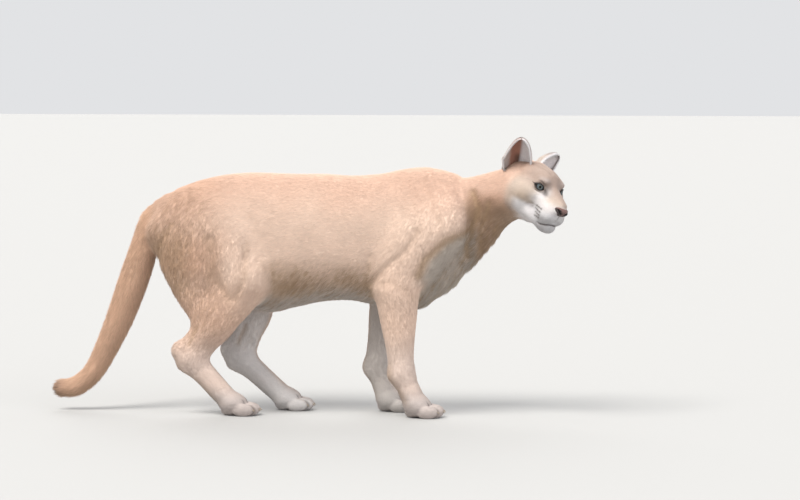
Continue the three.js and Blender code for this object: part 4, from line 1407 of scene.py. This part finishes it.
class COUGAR_OT_lids(bpy.types.Operator):
    """Makes the bare dark rims of the lids: tubes along the edges of the opening"""
    bl_idname = "cougar.lids"
    bl_label = "Lid rims"

    def execute(self, context):
        run = np.cos(np.linspace(np.pi, 0, 40))
        parts = []
        for side in (-1.0, 1.0):
            mirror = np.array([1, side, 1])
            for below, thick in ((False, 1.7), (True, 1.15)):
                line = lid_edge(run, np.full(len(run), below), EYE_RADIUS + 1.5)
                parts.append(tube(from_head(line * mirror), thick * (1 - 0.35 * np.abs(run) ** 3)))
        points, faces = merged(parts)
        tint = np.tile(colours().lid_rim, (len(points), 1))
        rims = tinted_piece("lid_rims", points, faces, tint, bare_material("rim", 0.35, wet=0.4))
        carries(rims, "eye")
        return {"FINISHED"}


NOSE_AT = np.array([72.0, 0.0, -38.0])
NOSTRIL = [[7.5, -4.5], [11.5, -2.0], [15.5, 0.5], [18.5, 4.5]]  # sideways and up from the nose's middle
NOSTRIL_DEPTH, GROOVE_DEPTH = 8.5, 2.2


def nose_surface(a, b):
    """The nose pad's surface: a rounded block, broad above and narrow below, with its nostrils pressed in.

    a runs round from the top over the front to the underside, b from the animal's left to its right."""
    up = np.sin(a)
    wide = 20.5 - 8.5 * smooth_step(0.1, -1.0, up)
    side = signed_power(np.sin(b), 0.85)
    body = np.sqrt(np.maximum(1 - side ** 2, 0)) ** 0.6
    ahead = 14.5 * signed_power(np.cos(a), 0.8) * (0.35 + 0.65 * body)
    above = 13.0 * signed_power(up, 0.85) * (0.45 + 0.55 * body) - 2.0 * side ** 2
    return ahead, wide * side, above


class COUGAR_OT_nose(bpy.types.Operator):
    """Makes the bare nose: a rounded block whose nostrils and middle groove are pressed in by soft bells"""
    bl_idname = "cougar.nose"
    bl_label = "Nose"

    def execute(self, context):
        c = colours()
        a = np.linspace(0, 2 * np.pi, 96, endpoint=False)[None]
        b = np.linspace(-np.pi / 2, np.pi / 2, 72)[1:-1][:, None]
        f, left, u = nose_surface(a + 0 * b, b + 0 * a)
        side = np.abs(left)
        gap, place = (value.reshape(f.shape) for value in line_gap(
            np.column_stack([side.ravel(), u.ravel()]), NOSTRIL))
        hole = bell(gap, 3.4 - 1.7 * place) * (f > 0)
        groove = bell(side, 1.1) * (f > 0) * smooth_step(5, -3, u)
        f = f - NOSTRIL_DEPTH * hole - GROOVE_DEPTH * groove
        points, faces = capped(from_head(NOSE_AT + np.stack([f, left, u], -1)))
        tint = np.tile(c.nose, f.shape + (1,)) * (0.85 + 0.25 * smooth_step(-2, 10, u))[..., None]
        edge = smooth_step(9, 14, side) * smooth_step(10, 4, u) * 0.95 + smooth_step(-4, -11, u) * 0.6
        tint = layered(tint, [(c.lid_rim, np.minimum(edge, 0.85)), (c.nostril, hole * 1.5 + groove * 0.8)])
        tint = np.concatenate([tint.reshape(-1, 3), tint[0, :1], tint[-1, :1]])
        nose = tinted_piece("nose_pad", points, faces, tint, bare_material("bare_nose", 0.42, wet=0.25))
        carries(nose, "nose_skin", "nose")
        return {"FINISHED"}


WHISKER_SHARE = {-1.0: 0.72, 1.0: 1}  # the right side's are shorter
WHISKER_BEND = [-0.55, -0.25, -0.30]
WHISKER_RADIUS = 0.42


class COUGAR_OT_whiskers(bpy.types.Operator):
    """Makes the whiskers: thin cones that leave the pad in rows and bend back and down by a square law"""
    bl_idname = "cougar.whiskers"
    bl_label = "Whiskers"

    def execute(self, context):
        rng = np.random.default_rng(SEED)
        parts = []
        reach = millimetres(sizes().whisker)
        t = np.linspace(0, 1, 9)[:, None]
        for side in (-1.0, 1.0):
            for row in range(4):
                for number in range(4):
                    aside = 30.0 + 3 * number - 3 * max(row - 1, 0)
                    root = np.array([50 - 8 * number - 2 * row, aside, -50 - 7 * row])
                    way = unit([-0.35 - 0.22 * number, 0.72, 0.12 - 0.28 * row]) + rng.normal(0, 0.05, 3)
                    length = reach * (0.55 + 0.14 * number) * rng.uniform(0.8, 1.0) * WHISKER_SHARE[side]
                    line = root + way * length * t + np.array(WHISKER_BEND) * length * t * t
                    parts.append(tube(from_head(line * [1, side, 1]), WHISKER_RADIUS * (1 - 0.85 * t[:, 0]), 5))
        points, faces = merged(parts)
        tint = np.tile(colours().white, (len(points), 1))
        whiskers = tinted_piece("whiskers", points, faces, tint, hair_material())
        carries(whiskers, "coat")
        return {"FINISHED"}


CLAW_RADIUS = 2.5
CLAW_BEND = 0.25, 1.15  # where its arc starts, and how far it turns, in radians
TOE_PAD_HALF = [16, 7.5, 4.0]
HEEL_PAD_HALF = [19, 21, 6.0]


class COUGAR_OT_paws(bpy.types.Operator):
    """Makes the claws, cones bent along an arc, and the pads, rounded cushions flat underneath"""
    bl_idname = "cougar.paws"
    bl_label = "Claws and pads"

    def execute(self, context):
        c = colours()
        claws, pads = [], []
        t = np.linspace(0, 1, 8)
        for leg in LEGS.values():
            for x, y, half in paws_of(leg):
                for ahead, across in TOES:
                    tip = np.array([x + ahead + TOE_HALF[0] - 4, y + across * half, TOE_HALF[2]])
                    angle = CLAW_BEND[0] + CLAW_BEND[1] * t
                    line = tip + np.column_stack([9.5 * np.sin(angle) - 2, 0 * t, 8 * np.cos(angle) - 9])
                    claws.append(tube(line, CLAW_RADIUS * (1 - 0.9 * t)))
                    pads.append(ball_rings([x + ahead - 1, y + across * half, TOE_PAD_HALF[2]], TOE_PAD_HALF))
                pads.append(ball_rings([x - 2, y, HEEL_PAD_HALF[2]], HEEL_PAD_HALF))
        points, faces = merged(claws)
        claw = tinted_piece("claws", points, faces, np.tile(c.claw, (len(points), 1)),
                            bare_material("horn", 0.35, bump=0.1))
        carries(claw, "coat")
        points, faces = merged(capped(rings) for rings in pads)
        points[:, 2] = np.maximum(points[:, 2], 0.0)
        pad = tinted_piece("paw_pads", points, faces, np.tile(c.pad, (len(points), 1)),
                           bare_material("pad", 0.6))
        carries(pad, "coat")
        return {"FINISHED"}


# The coat's tufts

def sampled(rng, mesh, count, weight):
    """Places drawn on a mesh's triangles in proportion to area times a weight at the points.

    Gives each place's triangle corners and its shares of them."""
    mesh.calc_loop_triangles()
    flat = np.empty(len(mesh.loop_triangles) * 3, int)
    mesh.loop_triangles.foreach_get("vertices", flat)
    corners = flat.reshape(-1, 3)
    points = mesh_points(mesh)
    a, b, c = (points[corners[:, k]] for k in range(3))
    area = np.linalg.norm(np.cross(b - a, c - a), axis=1) / 2 * weight[corners].mean(1)
    chosen = rng.choice(len(corners), count, p=area / area.sum())
    p, q = rng.random((2, count))
    over = p + q > 1
    p, q = np.where(over, 1 - p, p), np.where(over, 1 - q, q)
    return corners[chosen], np.column_stack([1 - p - q, p, q])


def read_attribute(mesh, name):
    """The values of a mesh's attribute, one row per point."""
    layer = mesh.attributes[name]
    field, wide = KINDS[layer.data_type]
    flat = np.empty(len(mesh.vertices) * wide, np.float32)
    layer.data.foreach_get(field, flat)
    return flat.astype(float) if wide == 1 else flat.reshape(-1, wide).astype(float)


def round_and_along(side, up, share):
    """Places on an unwrap from an angle round an axis and a share of the way along it."""
    return np.column_stack([0.5 + np.arctan2(side, up) / (2 * np.pi) * 0.98, share])


def unwrap(points, piece):
    """The skin's own unwrap for a part of the coat: round an axis of the part, and along it, both 0 to 1.

    The head's is a disc round its forward axis."""
    x, y, z = points.T
    if piece.startswith("head"):
        way = unit(to_head(points) + [30, 0, 20])
        turn = 0.49 * (np.arccos(np.clip(way[:, 0], -1, 1)) / np.pi)
        angle = np.arctan2(way[:, 1], way[:, 2])
        return np.column_stack([0.5 + turn * np.cos(angle), 0.5 + turn * np.sin(angle)])
    if piece.startswith(("front", "hind")):
        leg = LEGS["right" if "right" in piece else "left"]
        names = ("front_ball", "wrist", "elbow") if piece.startswith("front") else ("hind_ball", "hock", "knee")
        joints = np.array([leg[name] for name in names], float) * [1, leg["side"], 1]
        middle_x, middle_y = (np.interp(z, joints[:, 2], joints[:, k]) for k in range(2))
        return round_and_along(y - middle_y, x - middle_x, np.clip(z / 720, 0, 0.99))
    if piece == "tail":
        count = len(TAIL) - 1
        at = np.interp(-x, -TAIL[:, 0], np.arange(count + 1) / count)
        return round_and_along(y, z - np.interp(-x, -TAIL[:, 0], TAIL[:, 1]), 0.01 + 0.98 * at)
    return round_and_along(y, z - 500, np.clip((x + 430) / 1130, 0, 0.99))


PATCH = 0.003  # how wide a tuft is on its piece's unwrap
PATCH_CORNERS = np.array([[-1, -1], [1, -1], [0, 0], [0, 1]])
RIDGE_AT, RIDGE_RISE = 0.12, 0.22  # share of the length, and of the width above the way to the tip
ROOT_SINK = 0.5
WEDGE = np.array([[0, 3, 2], [2, 3, 1], [0, 1, 3], [0, 2, 1]])
# Each tuft's tint at its two roots, ridge and tip: darker at the roots as painted shade, lighter at the tip as
# painted light
WEDGE_SHADE = np.array([0.85, 0.85, 0.95, 1.06])
LOWEST_HAIR = 0.8


def tuft_piece(name, roots, normals, lies, lengths, widths, lifts, tints):
    """A piece of closed wedges: left and right root, a raised ridge between them, and a tip.

    The tip lies a length along the hair from the root and a lift out along the skin's normal."""
    count = len(roots)
    across = unit(np.cross(normals, lies))
    sink = ROOT_SINK * normals
    left = roots - across * widths[:, None] / 2 - sink
    right = roots + across * widths[:, None] / 2 - sink
    rise = RIDGE_RISE * widths + RIDGE_AT * lifts
    ridge = roots + normals * rise[:, None] + lies * (RIDGE_AT * lengths)[:, None]
    tip = roots + lies * lengths[:, None] + normals * lifts[:, None]
    points = np.stack([left, right, ridge, tip], 1).reshape(-1, 3)
    points[:, 2] = np.maximum(points[:, 2], LOWEST_HAIR)
    faces = np.arange(count)[:, None, None] * 4 + WEDGE

    mesh = bpy.data.meshes.new(name)
    mesh.vertices.add(len(points))
    set_points(mesh, points)
    mesh.loops.add(count * 12)
    mesh.loops.foreach_set("vertex_index", faces.ravel())
    mesh.polygons.add(count * 4)
    mesh.polygons.foreach_set("loop_start", np.arange(count * 4) * 3)
    mesh.update(calc_edges=True)
    mesh.shade_smooth()

    # painted shade at each tuft's roots and painted light at its tip
    tone = np.clip(tints[:, None] * WEDGE_SHADE[None, :, None], 0, 1)
    write_attribute(mesh, "tint", "FLOAT_COLOR", tone.reshape(-1, 3))
    spread = np.stack([normals - 0.45 * across, normals + 0.45 * across, normals, normals + 0.25 * lies], 1)
    mesh.normals_split_custom_set_from_vertices(unit(spread).reshape(-1, 3))

    at = unwrap(roots, name.removeprefix("coat_"))[:, None] + PATCH / 2 * PATCH_CORNERS
    layer = mesh.uv_layers.new(name="OFBake")
    layer.data.foreach_set("uv", at.reshape(-1, 2)[faces.ravel()].ravel())
    mesh.materials.append(hair_material())
    piece = placed(name, mesh)
    carries(piece, "coat")


MOST_IN_A_PIECE = 49000
WIDTH_SHARE, LEAST_WIDTH = 0.045, 0.6  # a tuft's width is a share of its length and a little more
CROWDING = np.array([1.9, 1.9, 1.5, 1.2, 0.7, 0.7, 0.6, 0.6])  # of the tufts, in the order of REGIONS
EAR_LIFT = 0.8
RUMP_START = -20


def piece_names(roots, many):
    """The coat's piece for each root: its main region, split into right and left on trunk and head."""
    group = np.argmax(many, 1)
    trunk, head = REGIONS.index("trunk"), REGIONS.index("head")
    right = np.where(group == head, to_head(roots)[:, 1] < 0, roots[:, 1] < 0)
    names = np.array(REGIONS)[group]
    rear = (group == trunk) & (roots[:, 0] < RUMP_START)
    for name, of_it in (("trunk", group == trunk), ("head", group == head), ("rump", rear)):
        names = np.where(of_it & right, name + "_right", np.where(of_it & ~right, name + "_left", names))
    return names


class COUGAR_OT_coat(bpy.types.Operator):
    """Makes the coat: wedges drawn over the skin by area, lying with the hair, in pieces by part of the body"""
    bl_idname = "cougar.coat"
    bl_label = "Coat"

    def execute(self, context):
        skin = bpy.data.objects.get("skin")
        if not skin:
            raise RuntimeError("The coat needs the skin")
        mesh = skin.data
        rng = np.random.default_rng(SEED + 1)
        points, normals = mesh_points(mesh), mesh_normals(mesh)
        share = np.column_stack([read_attribute(mesh, "region_" + name) for name in REGIONS])
        lie, length, ear = (read_attribute(mesh, name) for name in ("lie", "length", "ear"))
        cover = length * (WIDTH_SHARE * length + LEAST_WIDTH)
        density = (1 - bare_places(points)) / cover * (share @ CROWDING)
        density *= 1 - 0.45 * np.clip(ear - 1, 0, 1)
        total = sizes().tufts
        corners, weights = sampled(rng, mesh, total, np.maximum(density, 0))

        def at_roots(values):
            return (values[corners] * weights.reshape(weights.shape + (1,) * (values.ndim - 1))).sum(1)

        roots = at_roots(points)
        normal = unit(at_roots(normals))
        way = unit(at_roots(lie))
        many = at_roots(share)
        twist = rng.normal(0, 0.16, (total, 1))
        way = unit(way - normal * (way * normal).sum(1)[:, None])
        way = unit(way + np.cross(normal, way) * twist)
        hair = at_roots(length) * rng.uniform(0.7, 1.15, total)
        wide = (WIDTH_SHARE * hair + LEAST_WIDTH) * rng.uniform(0.75, 1.25, total)
        rough = roughness_of(roots, many)
        lift = coat_depth(roots) * rng.uniform(0.25, 0.65 + 0.6 * rough, total)
        on_ear = at_roots(ear) > 0.5
        lift = np.where(on_ear, EAR_LIFT, lift)
        tint = coat_colours(roots, many, normal)
        tint[on_ear] = at_roots(read_attribute(mesh, "tint")[:, :3])[on_ear] / GAP_SHADE
        clump = soft_noise(roots, 34.0) * 0.5 + soft_noise(roots, 11.0) * 0.5
        tone = 1 + (0.05 + 0.08 * rough) * clump + rng.normal(0, 1, total) * (0.055 + 0.05 * rough)
        tint = np.clip(tint * tone[:, None], 0.002, 0.98)
        names = piece_names(roots, many)
        for name in np.unique(names):
            mine = np.flatnonzero(names == name)[:MOST_IN_A_PIECE]
            tuft_piece("coat_" + str(name), *(
                values[mine] for values in (roots, normal, way, hair, wide, lift, tint)))
        return {"FINISHED"}


def bare_places(points):
    """1 where no hair grows: in the opening of the lids, on the nose, the mouth's line and the soles."""
    p = folded(to_head(points))
    run, rise, upper, lower, near = by_lids(p)
    eye = near & (np.abs(run) < 1.04) & (rise < upper + 1.0) & (rise > lower - 1.0)
    scaled = (p - NOSE_AT) / [17, 20.5, 13.5]
    nose = (scaled ** 2).sum(1) < 1
    gap, _ = line_gap(p[:, [0, 2]], MOUTH)
    mouth = (gap < 1.5) & (p[:, 0] > 36) & (np.linalg.norm(p, axis=1) < 140)
    sole = (points[:, 2] < 3) & (points[:, 0] > -330)
    return (eye | nose | mouth | sole).astype(float)


# Stage

CAMERA = {"azimuth": 6.0, "elevation": 4.0, "distance": 9.0, "lens": 144.6, "target": (270.0, 0.0, 462.0)}
LIGHTS = [
    # name, way the light comes from, angle it fills in degrees, strength, colour
    ("key", (-0.45, -0.62, 1.15), 30, 3.3, (1.0, 0.97, 0.92)),
    ("fill", (0.9, -0.7, 0.35), 60, 1.1, (0.96, 0.96, 1.0)),
    ("rim", (-0.2, 0.9, 0.8), 45, 1.0, (1.0, 0.98, 0.95)),
]
SKY = ((0.95, 0.96, 0.98), 0.80)
FLOOR_HALF = 30.0


class COUGAR_OT_stage(bpy.types.Operator):
    """Makes the floor, the lights and the camera"""
    bl_idname = "cougar.stage"
    bl_label = "Stage"

    def execute(self, context):
        scene = context.scene
        mesh = bpy.data.meshes.new("floor")
        corners = [(-1, -1, 0), (1, -1, 0), (1, 1, 0), (-1, 1, 0)]
        mesh.from_pydata(np.array(corners) * FLOOR_HALF, [], [(0, 1, 2, 3)])
        floor = placed("floor", mesh)
        paint = bpy.data.materials.new("floor")
        paint.use_nodes = True
        shader = paint.node_tree.nodes["Principled BSDF"]
        shader.inputs["Base Color"].default_value = (*colours().floor, 1)
        shader.inputs["Roughness"].default_value = 0.85
        mesh.materials.append(paint)

        world = bpy.data.worlds.new("sky")
        scene.world = world
        world.use_nodes = True
        sky = world.node_tree.nodes["Background"]
        sky.inputs["Color"].default_value = (*SKY[0], 1)
        sky.inputs["Strength"].default_value = SKY[1]
        scene.view_settings.view_transform = "Standard"
        for name, way, angle, strength, colour in LIGHTS:
            light = bpy.data.lights.new(name, "SUN")
            light.angle = math.radians(angle)
            light.energy = strength
            light.color = colour
            lamp = placed(name, light)
            x, y, z = unit(way)
            lamp.location = (4 * x, 4 * y, 4 * z)
            lamp.rotation_euler = (math.acos(z), 0, math.atan2(x, -y))

        azimuth, elevation = (math.radians(CAMERA[angle]) for angle in ("azimuth", "elevation"))
        toward = np.array([math.sin(azimuth) * math.cos(elevation),
                           -math.cos(azimuth) * math.cos(elevation), math.sin(elevation)])
        camera_data = bpy.data.cameras.new("camera")
        camera_data.lens = CAMERA["lens"]
        camera_data.sensor_width = 36.0
        camera_data.clip_end = 100.0
        camera = placed("camera", camera_data)
        camera.location = (np.array(CAMERA["target"]) - BOX_MIDDLE) * MM + toward * CAMERA["distance"]
        camera.rotation_euler = (math.pi / 2 - elevation, 0, azimuth)
        scene.camera = camera
        return {"FINISHED"}


class COUGAR_PT_panel(bpy.types.Panel):
    """The parts of the cougar, one button each"""
    bl_idname = "COUGAR_PT_panel"
    bl_label = "Cougar"
    bl_space_type = "VIEW_3D"
    bl_region_type = "UI"
    bl_category = "Cougar"

    def draw(self, context):
        for operator in OPERATORS:
            self.layout.operator(operator.bl_idname)


OPERATORS = [COUGAR_OT_skin, COUGAR_OT_eyes, COUGAR_OT_lids, COUGAR_OT_nose, COUGAR_OT_whiskers,
             COUGAR_OT_paws, COUGAR_OT_coat, COUGAR_OT_stage]
CLASSES = [CougarSizes, CougarColours, *OPERATORS, COUGAR_PT_panel]


def register():
    """Registers the settings, the operators and the panel."""
    for one in CLASSES:
        bpy.utils.register_class(one)
    bpy.types.Scene.cougar_sizes = bpy.props.PointerProperty(type=CougarSizes)
    bpy.types.Scene.cougar_colours = bpy.props.PointerProperty(type=CougarColours)


def unregister():
    """Takes them away again, last first."""
    del bpy.types.Scene.cougar_sizes
    del bpy.types.Scene.cougar_colours
    for one in reversed(CLASSES):
        bpy.utils.unregister_class(one)


def main():
    """Makes the cougar, piece after piece, from the default settings."""
    register()
    for operator in OPERATORS:
        group, name = operator.bl_idname.split(".")
        getattr(getattr(bpy.ops, group), name)()


if __name__ == "__main__":
    main()
